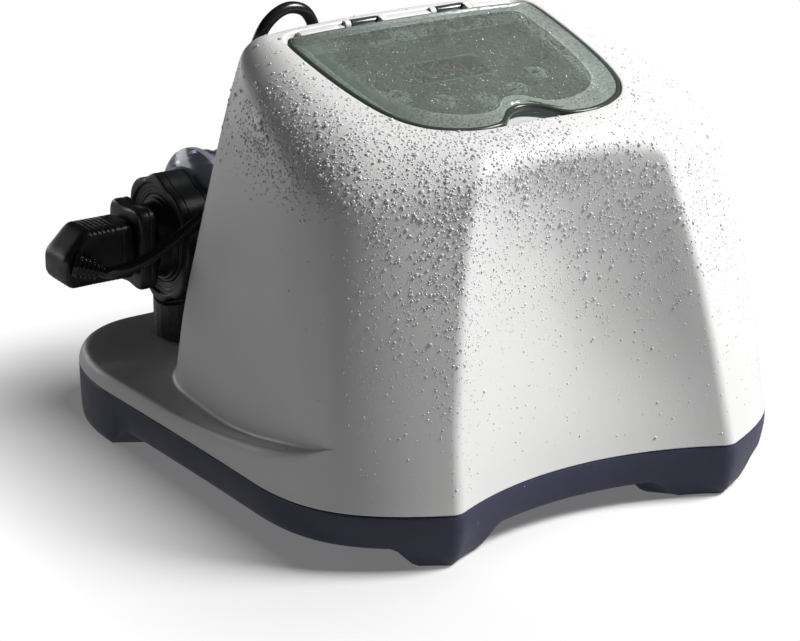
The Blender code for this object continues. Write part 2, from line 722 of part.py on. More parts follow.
def lid_rows(plan):
    """Half rows of the lid: under face, edge, crowned top."""
    centre = np.array(LID_CENTRE)
    under = 0.25 - LID_T
    rows = []

    def put_scaled(scale, lift):
        scaled = centre + (plan - centre) * scale
        rows.append(np.c_[scaled, top_z(scaled[:, 0], scaled[:, 1]) + lift])

    for scale, deep in ((0.45, 0.0), (0.86, 0.0), (0.90, 0.9), (0.965, 0.9)):
        put_scaled(scale, under + 0.6 - deep)
    for amount, lift in ((0.5, under), (0.0, under + 0.6), (0.0, -0.3), (0.7, 0.35)):
        rows.append(np.c_[inward(plan, amount), top_z(plan[:, 0], plan[:, 1]) + lift])
    for scale in (0.93, 0.55):
        put_scaled(scale, 0.5 + 0.5 * (1 - scale))
    rows = np.array(rows)
    rows[:, 0, 0] = rows[:, -1, 0] = 0
    return rows


def build_lid():
    """The lid with two bored knuckles, and a pin in each."""
    rings = full_rows(lid_rows(lid_plan()))
    bm, verts = loft(rings)
    cap_fan(bm, verts[0], rings[0], flip=True)
    cap_fan(bm, verts[-1], rings[-1], flip=False)
    lid = put_mesh("lid", bm, "smoky_lid", pivot=HINGE)
    for side, sign in SIDES:
        x = sign * KNUCKLE_X
        centre = (x, HINGE[1], HINGE[2])
        add(lid, rod(f"lid_knuckle_{side}", 3.0, 20, centre, ALONG_X))
        add(lid, box(f"lid_web_{side}", (20, 5.0, 2.4), (x, 217.6, HINGE[2] - 0.9),
                     rotation=TILTED))
        cut(lid, rod(f"lid_bore_{side}", 1.75, 26, centre, ALONG_X, sides=16))
        rod(f"lid_hinge_pin_{side}", 1.5, 27.4, centre, ALONG_X, "steel", 16)


def build_hinge_strip():
    """A bar behind the lid with a lug at each end of each knuckle."""
    sections = []
    for x in np.linspace(-STRIP_HALF_LENGTH, STRIP_HALF_LENGTH, 13):
        base = float(top_z(x, STRIP_Y))
        sections.append([(x, y, base + lift + (y - STRIP_Y) * LID_SLOPE)
                         for y, lift in STRIP_SECTION])
    bm, verts = loft(sections)
    bm.faces.new(list(reversed(verts[0])))
    bm.faces.new(verts[-1])
    bmesh.ops.recalc_face_normals(bm, faces=bm.faces[:])
    strip = put_mesh("hinge_strip", bm, "white_plastic")
    for side, sign in SIDES:
        x = sign * KNUCKLE_X
        cut(strip, box(f"knuckle_room_{side}", (21.0, 8.4, 14),
                       (x, HINGE[1] - 0.2, HINGE[2] + 3.6)))
        for lug_x in (KNUCKLE_X - 12.6, KNUCKLE_X + 12.6):
            add(strip, rod(f"hinge_lug_{side}_{lug_x:.0f}", 2.9, 4.0,
                           (sign * lug_x, HINGE[1], HINGE[2]), ALONG_X))
        cut(strip, rod(f"pin_room_{side}", 1.8, 28.2, (x, HINGE[1], HINGE[2]), ALONG_X, sides=16))


# ---------------------------------------------------------------- control panel
PANEL_DROP = 14.0  # panel's face below the housing's top
PANEL_T = 2.4
# panel coordinates: right, up the slope
BUTTONS = {
    "button_power": (0.0, -24.0), "button_lock": (-27.0, -18.0), "button_timer": (27.0, -18.0),
    "button_boost": (-51.0, -3.0), "button_clean": (51.0, -3.0),
}
BUTTON_R = 7.4
# (radius, height): domed top, skirt under the panel, stem
BUTTON_PROFILE = [
    (0, 1.6), (4.6, 1.45), (6.6, 1.05), (BUTTON_R, 0.3), (BUTTON_R, -2.75), (9.0, -2.75),
    (9.0, -4.1), (2.4, -4.1), (2.4, -5.6), (0, -5.6),
]
WINDOW_W, WINDOW_H = 52.0, 24.0
WINDOW_UP = 20.0  # the window's centre, up the slope


def on_panel(right, up, out):
    """Working-frame point from panel coordinates: right, up the slope, out of the face."""
    face_z = LID_REAR_Z - LID_SLOPE * (LID_REAR_Y - LID_CENTRE[1]) - PANEL_DROP
    return (LID_CENTRE[0] + right, LID_CENTRE[1] + up * cos(LID_TILT) - out * sin(LID_TILT),
            face_z + up * sin(LID_TILT) + out * cos(LID_TILT))


def build_control_panel():
    """The panel inside the well, with holes for the buttons and the window."""
    mouth = opening_plan(PANEL_COUNTS)
    half = inward(mouth, 10.2 + 20.5 * scoop_share(mouth))
    outline = [(x, (y - LID_CENTRE[1]) / cos(LID_TILT)) for x, y in full_rows(half[None])[0]]
    holes = [moved(ring(20, BUTTON_R + 0.4), *place) for place in BUTTONS.values()]
    holes.append(moved(rounded(WINDOW_W, WINDOW_H, 3.0), 0, WINDOW_UP))
    plate("control_panel", [outline] + holes, PANEL_T, on_panel(0, 0, -PANEL_T / 2), TILTED,
          "panel_plastic")


def build_display():
    plate("display_window", [rounded(WINDOW_W - 0.8, WINDOW_H - 0.8, 2.6)], 1.8,
          on_panel(0, WINDOW_UP, -1.1), TILTED, "window_plastic")
    box("digit_display", (40, 17, 7), on_panel(0, WINDOW_UP, -6.2), "display_grey",
        rotation=TILTED)
    box("display_board", (128, 74, 1.6), on_panel(0, 2, -11.0), "board_green", rotation=TILTED)


def build_buttons():
    """Each button, over its switch."""
    for name, (right, up) in BUTTONS.items():
        turned(name, BUTTON_PROFILE, on_panel(right, up, 0), TILTED, "button_plastic", 18)
        box(name.replace("button", "switch"), (6.2, 6.2, 3.4), on_panel(right, up, -8.3),
            "component_black", 0.4, TILTED)


# ---------------------------------------------------------------- electronics inside the tower
PARTS_Z = BOARD_Z + BOARD_T / 2 + 0.3  # foot of the parts on the board
CORE_SIZE = (74, 40, 62)
CORE_CENTRE = (-42, 160, PARTS_Z + CORE_SIZE[2] / 2)
SINK_HALF = 32.0  # half the heat sink's width
FIN_COUNT = 7
FIN_HALF = 1.1  # half a fin's thickness


def build_main_board():
    holes = [moved(ring(12, 2.4), sign_x * BOARD_HOLE[0], sign_y * BOARD_HOLE[1])
             for sign_x, sign_y in SIGN_PAIRS]
    plate("main_board", [rounded(190, 150, 6, 3)] + holes, BOARD_T, (0, BOARD_Y, BOARD_Z),
          UPRIGHT, "board_green")


def build_transformer():
    """An E-I core round a winding."""
    x, y, z = CORE_CENTRE
    core = box("transformer_core", CORE_SIZE, CORE_CENTRE, "iron", 0.8)
    for sign in (-1, 1):
        cut(core, box(f"core_window_{sign + 1}", (13.4, 60, 38), (x + sign * 18.2, y, z)))
    plate("transformer_winding", [rounded(48.6, 62, 9), rounded(23.8, 41, 1.2)], 36.4,
          CORE_CENTRE, UPRIGHT, "copper")


def build_heat_sink():
    """A base with fins, its section running along Y."""
    base_top, fin_top = 6, 34
    pitch = 2 * SINK_HALF / (FIN_COUNT - 1)
    section = [(SINK_HALF, 0)]
    for k in range(FIN_COUNT):
        x = SINK_HALF - k * pitch
        right, left = min(SINK_HALF, x + FIN_HALF), max(-SINK_HALF, x - FIN_HALF)
        section += [(right, fin_top), (left, fin_top)]
        if k < FIN_COUNT - 1:
            section += [(left, base_top), (x - pitch + FIN_HALF, base_top)]
    section.append((-SINK_HALF, 0))
    plate("heat_sink", [section], 60, (48, 150, PARTS_Z), ON_EDGE, "aluminium")


def build_board_parts():
    rod("capacitor", 12.5, 34, (-52, 108, PARTS_Z + 17), UPRIGHT, "component_blue", bevel=1.0)
    box("relay", (28, 18, 16), (4, 106, PARTS_Z + 8), "component_blue", 0.8)
    box("terminal_block", (50, 13, 15), (30, 222, PARTS_Z + 7.5), "terminal_green", 0.8)


# ---------------------------------------------------------------- cell on the rear deck
# Right half of the chamber, (radius, x): its outside from the barrel to the neck's end, then its
# bore back to the barrel.
CHAMBER_OUTSIDE = [
    (49.5, 72.5), (51.5, 73.5), (51.5, 76.5), (49.5, 77.5), (49.5, 84), (56, 88), (56, 93),
    (44, 98.8), (34, 99.4), (34, 114),
]
CHAMBER_BORE = [(29, 114), (29, 95), (45.5, 88)]
PORTS = {"inlet": 46.0, "outlet": -46.0}  # x of each port
PORT_END = 406.0
PORT_STUB_R, PORT_BORE_R = 21.0, 17.0
# (radius, distance from the cell's middle) kept clear by a saddle: barrel, flange, union nut
SADDLE_RELIEF = [
    (0, 30), (52.6, 30), (52.6, 83.0), (57.2, 83.6), (57.2, 95.0), (46.4, 100.2), (46.4, 150),
    (0, 150),
]
SADDLE_H = 46
NUT_LIP_T = 4.4  # a nut's closed end


def on_cell_axis(x):
    return (x, CELL_Y, CELL_Z)


def mirrored(profile):
    return [(radius, -height) for radius, height in reversed(profile)]


def build_cell_chamber():
    """The barrel with a flange and a neck at each end, and two ports to the back."""
    profile = mirrored(CHAMBER_OUTSIDE) + CHAMBER_OUTSIDE + CHAMBER_BORE + mirrored(CHAMBER_BORE)
    chamber = turned("cell_chamber", profile, CELL_CENTRE, ALONG_X, "cell_plastic", 32)
    start = CELL_Y + 44
    for label, x in PORTS.items():
        add(chamber, rod(f"{label}_stub", PORT_STUB_R, PORT_END - start,
                         (x, (PORT_END + start) / 2, CELL_Z), ALONG_Y, sides=28))
    for label, x in PORTS.items():
        cut(chamber, rod(f"{label}_bore", PORT_BORE_R, 70, (x, CELL_Y + 71, CELL_Z), ALONG_Y,
                         sides=28))


def build_cradles():
    """A saddle block on the deck under each end of the chamber."""
    for side, sign in SIDES:
        name = f"cell_cradle_{side}"
        foot = DECK_Z + DECK_RISE + 0.4
        block = plate(name, [rounded(66, 46, 20)], SADDLE_H,
                      (sign * 91.0, CELL_Y + 2, foot + SADDLE_H / 2), UPRIGHT, "black_plastic")
        profile = [(radius, sign * height) for radius, height in SADDLE_RELIEF]
        cut(block, turned(name + "_relief", profile, CELL_CENTRE, ALONG_X, steps=48))


def grip_nut(name, outline, thickness, centre, rotation, mouth, thread_r, lip_r):
    """A lobed ring, bored for its thread from the mouth's side down to a lip."""
    nut = plate(name, [outline, ring(36, lip_r)], thickness, centre, rotation, "black_plastic",
                1.6)
    overshoot = 1.0
    middle = Vector(centre) + Vector(mouth) * (NUT_LIP_T / 2 + overshoot / 2)
    cut(nut, rod(name + "_thread", thread_r, thickness - NUT_LIP_T + overshoot, middle, rotation,
                 sides=36))


def o_ring(name, major, minor, centre, rotation):
    loop = [(major + x, y) for x, y in ring(6, minor)]
    turned(name, loop, centre, rotation, "seal_rubber", 18)


def build_end_unions():
    """The union nut and seal at each end of the chamber."""
    for label, sign in (("cell", -1), ("sensor", 1)):
        grip_nut(f"{label}_union_nut", lobed(64, 44.5, 3.0), 25.2, on_cell_axis(sign * 113.0),
                 ALONG_X, mouth=(-sign, 0, 0), thread_r=34.7, lip_r=30.4)
        o_ring(f"{label}_o_ring", 31.5, 1.15, on_cell_axis(sign * 115.5), ALONG_X)


def build_hose_unions():
    """The nut and seal on each port at the back."""
    for label, x in PORTS.items():
        grip_nut(f"{label}_hose_nut", lobed(40, 29.5, 2.2), 24.0, (x, 401.0, CELL_Z), ALONG_Y,
                 mouth=(0, -1, 0), thread_r=21.7, lip_r=19.4)
        o_ring(f"{label}_o_ring", 18.9, 1.0, (x, 407.4, CELL_Z), ALONG_Y)


# ---------------------------------------------------------------- electrode cartridge and plug
CAP_END = -148.4  # x of the cap's outer end
CAP_FACE = -99.0  # x of its inner face
CAP_PROFILE = [  # (radius, x)
    (0, CAP_END + 10), (25.0, CAP_END + 10), (25.4, -137.6), (25.4, -128.6), (29.8, -127.4),
    (29.8, -120.9), (33.9, -120.9), (33.9, -117.0), (28.4, -117.0), (28.4, CAP_FACE),
    (0, CAP_FACE),
]
CAP_GRIP_T = 12.0
CONTACTS = ((1, -7.0), (2, 7.0))  # number, height above the cell's axis
PLATE_LENGTH, PLATE_T, PLATE_PITCH = 98, 1.2, 7
PLUG_END, PLUG_X = -200.0, CAP_END - 1.0
PLUG_SIDE_VIEW = [  # (x, height above the cell's axis)
    (PLUG_X, -19.0), (PLUG_X, 19.0), (-182.0, 19.0), (-185.5, 17.6), (PLUG_END + 0.6, 3.2),
    (PLUG_END, 1.4), (PLUG_END, -14.0), (PLUG_END + 5.0, -19.0),
]
BOOT = Vector((-191.6, CELL_Y - 18.5, CELL_Z - 1.0))  # on the boot's axis, ahead of the plug
BOOT_DIR = Vector((0.80, -0.52, -0.28)).normalized()


def build_cell_cap():
    """The cap in the union nut, with a flat grip and a socket for the plug."""
    cap = turned("cell_cap", CAP_PROFILE, CELL_CENTRE, ALONG_X, "black_plastic", 32)
    grip_centre = on_cell_axis(CAP_END + CAP_GRIP_T / 2)
    add(cap, plate("cell_cap_grip", [rounded(56, 46, 14)], CAP_GRIP_T, grip_centre, ALONG_X))
    cut(cap, box("cell_cap_socket", (14.0, 27.0, 31.0), grip_centre))
    for k, lift in CONTACTS:
        rod(f"contact_pin_{k}", 1.5, 8.8, (CAP_END + 8.3, CELL_Y, CELL_Z + lift), ALONG_X,
            "brass", 12)


def build_electrode_plates():
    """Four upright plates inside the chamber, cut in height to clear the round neck."""
    for k in range(4):
        offset = (k - 1.5) * PLATE_PITCH
        half_chord = sqrt(27.6**2 - (abs(offset) + PLATE_T / 2) ** 2)
        height = 2 * min(27.0, half_chord) - 1.0
        x = CAP_FACE + 0.7 + PLATE_LENGTH / 2
        box(f"electrode_plate_{k + 1}", (PLATE_LENGTH, PLATE_T, height),
            (x, CELL_Y + offset, CELL_Z), "titanium")


def build_cell_plug():
    plug = plate("cell_plug", [PLUG_SIDE_VIEW], 33.0, CELL_CENTRE, ON_EDGE, "black_plastic", 2.0,
                 pivot=on_cell_axis(PLUG_X))
    add(plug, box("cell_plug_nose", (15.0, 26.0, 30.0), on_cell_axis(PLUG_X + 5.9), bevel=1.0))
    for k, lift in CONTACTS:
        cut(plug, rod(f"cell_plug_bore_{k}", 1.9, 12.0, (PLUG_X + 9.5, CELL_Y, CELL_Z + lift),
                      ALONG_X, sides=12))


def build_plug_boot():
    """The plug's ribbed boot, cut clear of the plug."""
    profile = [(0, -3.0), (8.6, -3.0), (8.6, 0.6)]
    for k in range(3):
        radius, start = 8.2 - 0.7 * k, 3.6 * k
        profile += [(radius - 1.5, 1.3 + start), (radius - 1.5, 2.4 + start),
                    (radius, 2.9 + start), (radius, 4.3 + start)]
    profile += [(5.4, 12.6), (0, 12.6)]
    boot = turned("plug_boot", profile, BOOT, BOOT_DIR.to_track_quat("Z", "Y").to_euler(),
                  "black_rubber")
    cut(boot, box("plug_boot_room", (60.0, 33.8, 60.0), on_cell_axis(-174.0)))


# ---------------------------------------------------------------- flow sensor
SENSOR_PROFILE = [  # (radius, x)
    (0, 99.0), (28.4, 99.0), (28.4, 117.0), (33.9, 117.0), (33.9, 120.9), (29.8, 120.9),
    (29.8, 128.8), (29.2, 129.6), (17.0, 129.6), (15.5, 131.0), (15.5, 146.0), (12.0, 149.0),
    (0, 149.0),
]
FLAP = (32.0, CELL_Y, CELL_Z + 27.0)  # the paddle's pivot


def build_flow_sensor():
    """Body at the chamber's right end, with an arm inside that ends in two ears."""
    sensor = turned("flow_sensor", SENSOR_PROFILE, CELL_CENTRE, ALONG_X, "black_plastic", 32)
    arm_start, arm_end = FLAP[0] - 5.0, 101.0
    add(sensor, box("sensor_arm", (arm_end - arm_start, 12.0, 5.0),
                    ((arm_end + arm_start) / 2, CELL_Y, CELL_Z + 20.5)))
    for sign in (-1, 1):
        add(sensor, box(f"sensor_ear_{sign + 1}", (7.0, 2.6, 9.0),
                        (FLAP[0] - 0.8, CELL_Y + sign * 6.4, CELL_Z + 25.0)))
    cut(sensor, box("sensor_slot", (12.4, 9.0, 20.0), (FLAP[0] - 3.2, CELL_Y, CELL_Z + 25.0)))
    cut(sensor, rod("sensor_ear_bore", 1.3, 20, FLAP, ALONG_Y, sides=12))


def build_flow_flap():
    """The paddle hanging from its pin."""
    flap = rod("flow_flap", 2.4, 7.6, FLAP, ALONG_Y, "black_plastic", 12, pivot=FLAP)
    add(flap, box("flow_paddle", (1.6, 7.6, 46.0), (FLAP[0] - 1.5, CELL_Y, FLAP[2] - 23.0)))
    cut(flap, rod("flow_flap_bore", 1.3, 20, FLAP, ALONG_Y, sides=12))
    rod("flow_flap_pin", 1.05, 14.6, FLAP, ALONG_Y, "steel", 12)


# ---------------------------------------------------------------- glands, cords and mains plug
# (x, y, z) of each cord's free run, between its fixed ends
CELL_RUN = [
    (-172.5, 294.0, 116.5), (-161.5, 286.5, 121.5), (-144.5, 283.0, 131.0),
    (-131.5, 281.0, 139.0), (-118.0, 280.5, 148.0), (-104.5, 279.5, 160.0),
    (-97.0, 277.0, 184.0), (-95.5, 269.0, 215.0), (-95.0, 255.5, 250.0), (-92.0, 247.5, 272.0),
    (-84.0, 245.0, 283.5), (-72.0, 245.0, 288.0), (-59.0, 246.0, 283.0), (-50.0, 250.0, 266.0),
    (-46.5, 259.0, 240.0), (-45.0, 270.0, 212.0), (-45.0, 280.0, 190.0), (-45.0, 278.0, 177.5),
]
SENSOR_RUN = [
    (155.0, 332.0, 121.0), (158.5, 325.0, 139.0), (150.0, 312.0, 164.0), (125.0, 299.0, 183.0),
    (90.0, 290.0, 190.0), (55.0, 284.0, 193.0), (30.0, 280.0, 195.5), (20.5, 272.5, 196.0),
]
MAINS_X, MAINS_Z = 143.0, 62.0  # axis of the mains plug, which lies along Y
MAINS_RUN = [
    (64.0, 277.5, 170.0), (76.0, 283.0, 170.5), (100.0, 286.0, 167.0), (122.0, 287.5, 154.0),
    (137.0, 291.0, 128.0), (142.5, 295.0, 96.0), (MAINS_X, 301.0, 73.0), (MAINS_X, 311.0, 62.6),
    (MAINS_X, 321.0, MAINS_Z), (MAINS_X, 326.0, MAINS_Z), (MAINS_X, 334.0, MAINS_Z),
]


def build_glands():
    """The cord glands through the rear wall; heights run outwards from the wall."""
    for label, (x, z, radius, cord_r) in GLANDS.items():
        bore = cord_r + 0.35
        profile = [(bore, -7.5), (radius, -7.5), (radius, 3.4), (radius + 3.0, 3.4),
                   (radius + 3.0, 6.2), (radius - 0.4, 7.0), (cord_r + 1.4, 9.0), (bore, 9.0)]
        turned(label, profile, (x, rear_wall(x, z), z), ALONG_Y, "black_rubber")


def gland_ends(label):
    """A cord's points outside and inside its gland."""
    x, z = GLANDS[label][:2]
    wall_y = rear_wall(x, z)
    return [(x, wall_y + 8.5, z), (x, wall_y - 6.0, z)]


def build_cords():
    """The cell's and sensor's cords into the tower, and the mains lead down to the deck."""
    boot_run = [BOOT + BOOT_DIR * reach for reach in (13.1, 15.5, 19.0)]
    cord("cell_cord", boot_run + CELL_RUN + gland_ends("cell_gland"), GLANDS["cell_gland"][3])
    cord("sensor_cord", [on_cell_axis(149.4)] + SENSOR_RUN + gland_ends("sensor_gland"),
         GLANDS["sensor_gland"][3])
    cord("power_cord", gland_ends("mains_gland")[::-1] + MAINS_RUN, GLANDS["mains_gland"][3])


def build_mains_plug():
    """The plug lying on the deck, its blades towards the back."""
    box("mains_plug", (30.0, 34.0, 24.0), (MAINS_X, 354.0, MAINS_Z), "black_plastic", 4.0,
        segments=2)
    turned("mains_plug_boot", [(4.5, -3.6), (7.4, -3.6), (8.6, 6.4), (4.5, 6.4)],
           (MAINS_X, 330.0, MAINS_Z), ALONG_Y, "black_rubber")
    for k, sign in enumerate((-1, 1), 1):
        box(f"mains_blade_{k}", (1.6, 14.0, 6.4), (MAINS_X + sign * 6.4, 378.4, MAINS_Z + 2.0),
            "brass", 0.4)


# ---------------------------------------------------------------- the whole generator
build_upper_housing()
build_base_tray()
build_lid()
build_hinge_strip()
build_control_panel()
build_display()
build_buttons()
build_main_board()
build_transformer()
build_heat_sink()
build_board_parts()
build_cell_chamber()
build_cradles()
build_end_unions()
build_cell_cap()
build_electrode_plates()
build_cell_plug()
build_plug_boot()
build_glands()
build_flow_sensor()
build_flow_flap()
build_hose_unions()
build_cords()
build_mains_plug()
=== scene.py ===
"""Looks of the salt chlorine generator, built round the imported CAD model: fine shells, lid, panel,
cell, grip nuts, cords and water droplets, with procedural materials, a plain floor and soft light.

Lengths are millimetres in a working frame: X to the right with the housing symmetric about X = 0,
Y to the back, Z up from the floor. world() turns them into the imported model's frame, in metres,
whose offset comes from the record's hinge joint."""

import json
from math import cos, pi, radians, sin, sqrt

import bmesh
import bpy
import numpy as np
from mathutils import Matrix, Vector

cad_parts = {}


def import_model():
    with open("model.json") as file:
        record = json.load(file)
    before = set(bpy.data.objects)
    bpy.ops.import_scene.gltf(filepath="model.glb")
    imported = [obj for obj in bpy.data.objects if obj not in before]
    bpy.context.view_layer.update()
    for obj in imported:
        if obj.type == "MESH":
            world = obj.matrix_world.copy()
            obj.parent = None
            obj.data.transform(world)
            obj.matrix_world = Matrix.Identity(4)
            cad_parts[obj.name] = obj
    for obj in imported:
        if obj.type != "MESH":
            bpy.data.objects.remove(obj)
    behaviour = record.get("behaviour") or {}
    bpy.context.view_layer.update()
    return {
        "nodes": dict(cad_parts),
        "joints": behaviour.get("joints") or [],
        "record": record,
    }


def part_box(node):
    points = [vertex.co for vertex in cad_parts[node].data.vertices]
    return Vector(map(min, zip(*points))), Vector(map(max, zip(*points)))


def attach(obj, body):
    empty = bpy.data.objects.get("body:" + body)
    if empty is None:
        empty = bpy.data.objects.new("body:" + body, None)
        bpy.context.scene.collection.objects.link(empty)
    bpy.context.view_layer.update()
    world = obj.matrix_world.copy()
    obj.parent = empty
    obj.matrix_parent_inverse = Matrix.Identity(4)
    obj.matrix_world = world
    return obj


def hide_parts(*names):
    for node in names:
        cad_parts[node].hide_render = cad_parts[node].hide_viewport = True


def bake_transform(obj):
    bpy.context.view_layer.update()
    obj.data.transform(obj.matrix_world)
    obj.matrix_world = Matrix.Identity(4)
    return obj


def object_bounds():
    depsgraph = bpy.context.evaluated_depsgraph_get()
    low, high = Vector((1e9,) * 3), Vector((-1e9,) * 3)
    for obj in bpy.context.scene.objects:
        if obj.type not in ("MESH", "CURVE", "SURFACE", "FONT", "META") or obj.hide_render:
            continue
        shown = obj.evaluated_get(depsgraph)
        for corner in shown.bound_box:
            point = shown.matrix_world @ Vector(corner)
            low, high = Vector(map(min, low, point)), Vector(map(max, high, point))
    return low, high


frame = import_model()
NODES = frame["nodes"]
JOINTS = {joint["name"]: joint for joint in frame["joints"]}
COLOURS = {entry["slot"]: entry["base_color"][:3] for entry in frame["record"]["materials"]}
RNG = np.random.default_rng(20)

# ---------------------------------------------------------------- places from the record
HINGE_Y = 220.6
hinge = JOINTS["lid_hinge"]["pos_m"]
HINGE_Z = hinge[2] * 1000
ORIGIN_X, ORIGIN_Y = hinge[0] * 1000, hinge[1] * 1000 - HINGE_Y


def world(points):
    return (np.asarray(points, float) + (ORIGIN_X, ORIGIN_Y, 0.0)) * 0.001


def joint_at(name):
    x, y, z = JOINTS[name]["pos_m"]
    return np.array((x * 1000 - ORIGIN_X, y * 1000 - ORIGIN_Y, z * 1000))


def middle(node):
    low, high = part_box(node)
    return (np.array(low) + np.array(high)) / 2 * 1000 - (ORIGIN_X, ORIGIN_Y, 0)


def left_end(node):
    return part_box(node)[0][0] * 1000 - ORIGIN_X


_, CELL_Y, CELL_Z = joint_at("cell_plug_pull")  # the cell's axis runs along X
CELL = (0, CELL_Y, CELL_Z)

# ---------------------------------------------------------------- shape of the housing
RIM_Z = 36.0  # the seam between the tray and the housing
WALL = 2.6
TOP_Y, TOP_Z = 217, 278.5  # a point on the sloping top
LID_SLOPE = 0.2208
LID_TILT = float(np.arctan(LID_SLOPE))
LID_T = 3.0
LID_MID_Y = 152.0
PANEL_DROP = 14.0

# (z, measure) up the tower: the front creases' x and y, and how far the front is hollowed
CREASE_X = [(36, 101.5), (86, 96.7), (115, 92.3), (144, 87.9), (190, 78.2), (222, 69.0), (245, 61.0)]
CREASE_Y = [(36, 0), (86, 10), (144, 19.9), (203, 30.5), (245, 38)]
HOLLOW = [(36, 26), (120, 23), (180, 17), (210, 12), (228, 6), (240, 1.5), (250, 0)]
# (z, measure): half widths at the side's front and back, and the rear corner's x and y
SIDE_X = [(50, 166), (100, 164), (150, 159), (200, 151.5), (235, 144), (270, 134)]
BACK_X = [(50, 160), (100, 156.5), (150, 148), (200, 138), (235, 130), (270, 120)]
CORNER_X = [(50, 108), (150, 96), (235, 88), (270, 84)]
CORNER_Y = [(50, 288), (150, 266), (235, 244), (270, 234)]
# (x, y) half outline of the lid opening, from the front centre to the rear centre
OPENING = [
    (0, 72.0), (12, 71.6), (24, 71.2), (36, 71.4), (49, 73.6), (62, 79.4), (72.5, 87), (81.5, 99.5),
    (87, 115), (90.2, 131), (92.6, 151), (94, 174), (94.4, 197), (93.6, 212), (91.4, 218.6),
    (86.5, 222.9), (80, 224.2), (55, 224.6), (28, 224.6), (0, 224.6),
]
OPENING_KEYS = [(54, 75.5), (88.8, 122), (94.3, 197), (84, 223.8)]  # where plan corners meet it

# Columns of the housing along its half outline, in five stretches: front, front corner, side,
# rear corner and rear. Each stretch's stations run from 0 to under 1.
STATIONS = (
    np.r_[np.linspace(0, 0.952, 18, endpoint=False), 0.952, 0.964, 0.976, 0.988],
    np.r_[0, 0.006, 0.012, 0.018, 0.024, np.linspace(0.042, 1, 22, endpoint=False)],
    np.linspace(0, 1, 14, endpoint=False),
    np.linspace(0, 1, 22, endpoint=False),
    np.linspace(0, 1, 14, endpoint=False),
)
CREASE = len(STATIONS[0])  # the crease's column
SOFT = 4  # columns either side of the crease that its soft edge takes
# A column's place counts each stretch as this many units
UNITS = np.array([4, 6, 4, 5, 3], float)
UNIT_STARTS = np.r_[0, np.cumsum(UNITS)]
PLACE = np.concatenate([UNIT_STARTS[i] + UNITS[i] * STATIONS[i] for i in range(5)]
                       + [[UNIT_STARTS[-1]]])
# (column place, size) of the rounded shoulder under the top
SHOULDER = [(0, 12), (3.2, 14), (4.4, 20), (6.2, 33), (10, 34), (14, 22), (19, 4.0), (22, 3.6)]
# Inside the lid opening: (inset, inset at the scoop, drop, drop at the scoop)
LEDGE = [
    (0.3, 3.0, 3.6, 2.6), (0.45, 6.5, 6.0, 4.4), (0.9, 10.0, 6.4, 5.6), (2.0, 15.0, 6.5, 7.0),
    (6.0, 20.0, 6.6, 8.2), (7.0, 22.0, 6.7, 8.8), (7.5, 23.0, 7.2, 9.6), (7.7, 23.6, 8.7, 10.8),
    (7.8, 24.0, 14.0, 14.0), (7.8, 24.0, 20.0, 20.0),
]


# ---------------------------------------------------------------- curves and outlines
def curve_at(table, z):
    """Smooth curve through a table, straight beyond its ends."""
    xs, ys = np.array(table, float).T
    rise = np.diff(ys) / np.diff(xs)
    slope = np.r_[rise[0], (rise[:-1] + rise[1:]) / 2, rise[-1]]
    if z <= xs[0]:
        return ys[0] + (z - xs[0]) * slope[0]
    if z >= xs[-1]:
        return ys[-1] + (z - xs[-1]) * slope[-1]
    i = int(np.searchsorted(xs, z) - 1)
    step = xs[i + 1] - xs[i]
    part = (z - xs[i]) / step
    return ((2 * part**3 - 3 * part**2 + 1) * ys[i]
            + (part**3 - 2 * part**2 + part) * step * slope[i]
            + (-2 * part**3 + 3 * part**2) * ys[i + 1]
            + (part**3 - part**2) * step * slope[i + 1])


def ease(part):
    part = np.clip(part, 0, 1)
    return part * part * (3 - 2 * part)


def steps(count):
    return [k / count for k in range(1, count + 1)]


def quadratic(part, start, pull, end):
    return (1 - part) ** 2 * start + 2 * part * (1 - part) * pull + part * part * end


def cubic(part, start, pull, second_pull, end):
    return ((1 - part) ** 3 * start + 3 * (1 - part) ** 2 * part * pull
            + 3 * (1 - part) * part * part * second_pull + part**3 * end)


def bezier(stations, *controls):
    return cubic(stations[:, None], *(np.array(point, float) for point in controls))


def run_lengths(line):
    return np.r_[0, np.cumsum(np.linalg.norm(np.diff(line, axis=0), axis=1))]


def resample(line, stations):
    """Points of a polyline at these fractions of its length."""
    run = run_lengths(line)
    where = np.array(stations) * run[-1]
    return np.c_[np.interp(where, run, line[:, 0]), np.interp(where, run, line[:, 1])]


def smooth_line(points, pieces):
    """Catmull-Rom through the points."""
    line = np.array(points, float)
    ends = np.vstack([2 * line[0] - line[1], line, 2 * line[-1] - line[-2]])
    out = []
    for before, start, end, after in zip(ends, ends[1:], ends[2:], ends[3:]):
        for k in range(pieces):
            part = k / pieces
            out.append(0.5 * ((2 * start) + (-before + end) * part
                              + (2 * before - 5 * start + 4 * end - after) * part * part
                              + (-before + 3 * start - 3 * end + after) * part**3))
    out.append(line[-1])
    return np.array(out)


def even_out(line, times):
    """Smooths all but the end values, in place."""
    for _ in range(times):
        line[1:-1] = line[1:-1] * 0.5 + (line[:-2] + line[2:]) * 0.25


def inward_normals(outline):
    line = np.vstack([outline[1] * (-1, 1), outline, outline[-2] * (-1, 1)])
    tangent = line[2:] - line[:-2]
    tangent /= np.linalg.norm(tangent, axis=1)[:, None]
    return np.c_[-tangent[:, 1], tangent[:, 0]]


def shifted(outline, direction, amount):
    """A half outline moved, its two ends kept on the centre plane."""
    out = outline + direction * np.asarray(amount, float).reshape(-1, 1)
    out[0, 0] = out[-1, 0] = 0
    return out


def inward(outline, amount):
    return shifted(outline, inward_normals(outline), amount)


def raised(plan, z):
    return np.c_[plan, np.asarray(z) * np.ones(len(plan))]


def full_rows(rows):
    """Both halves of rows of a right half, as closed rings anticlockwise from above."""
    left = rows[:, -2:0:-1].copy()
    left[..., 0] *= -1
    return np.concatenate([rows, left], axis=1)


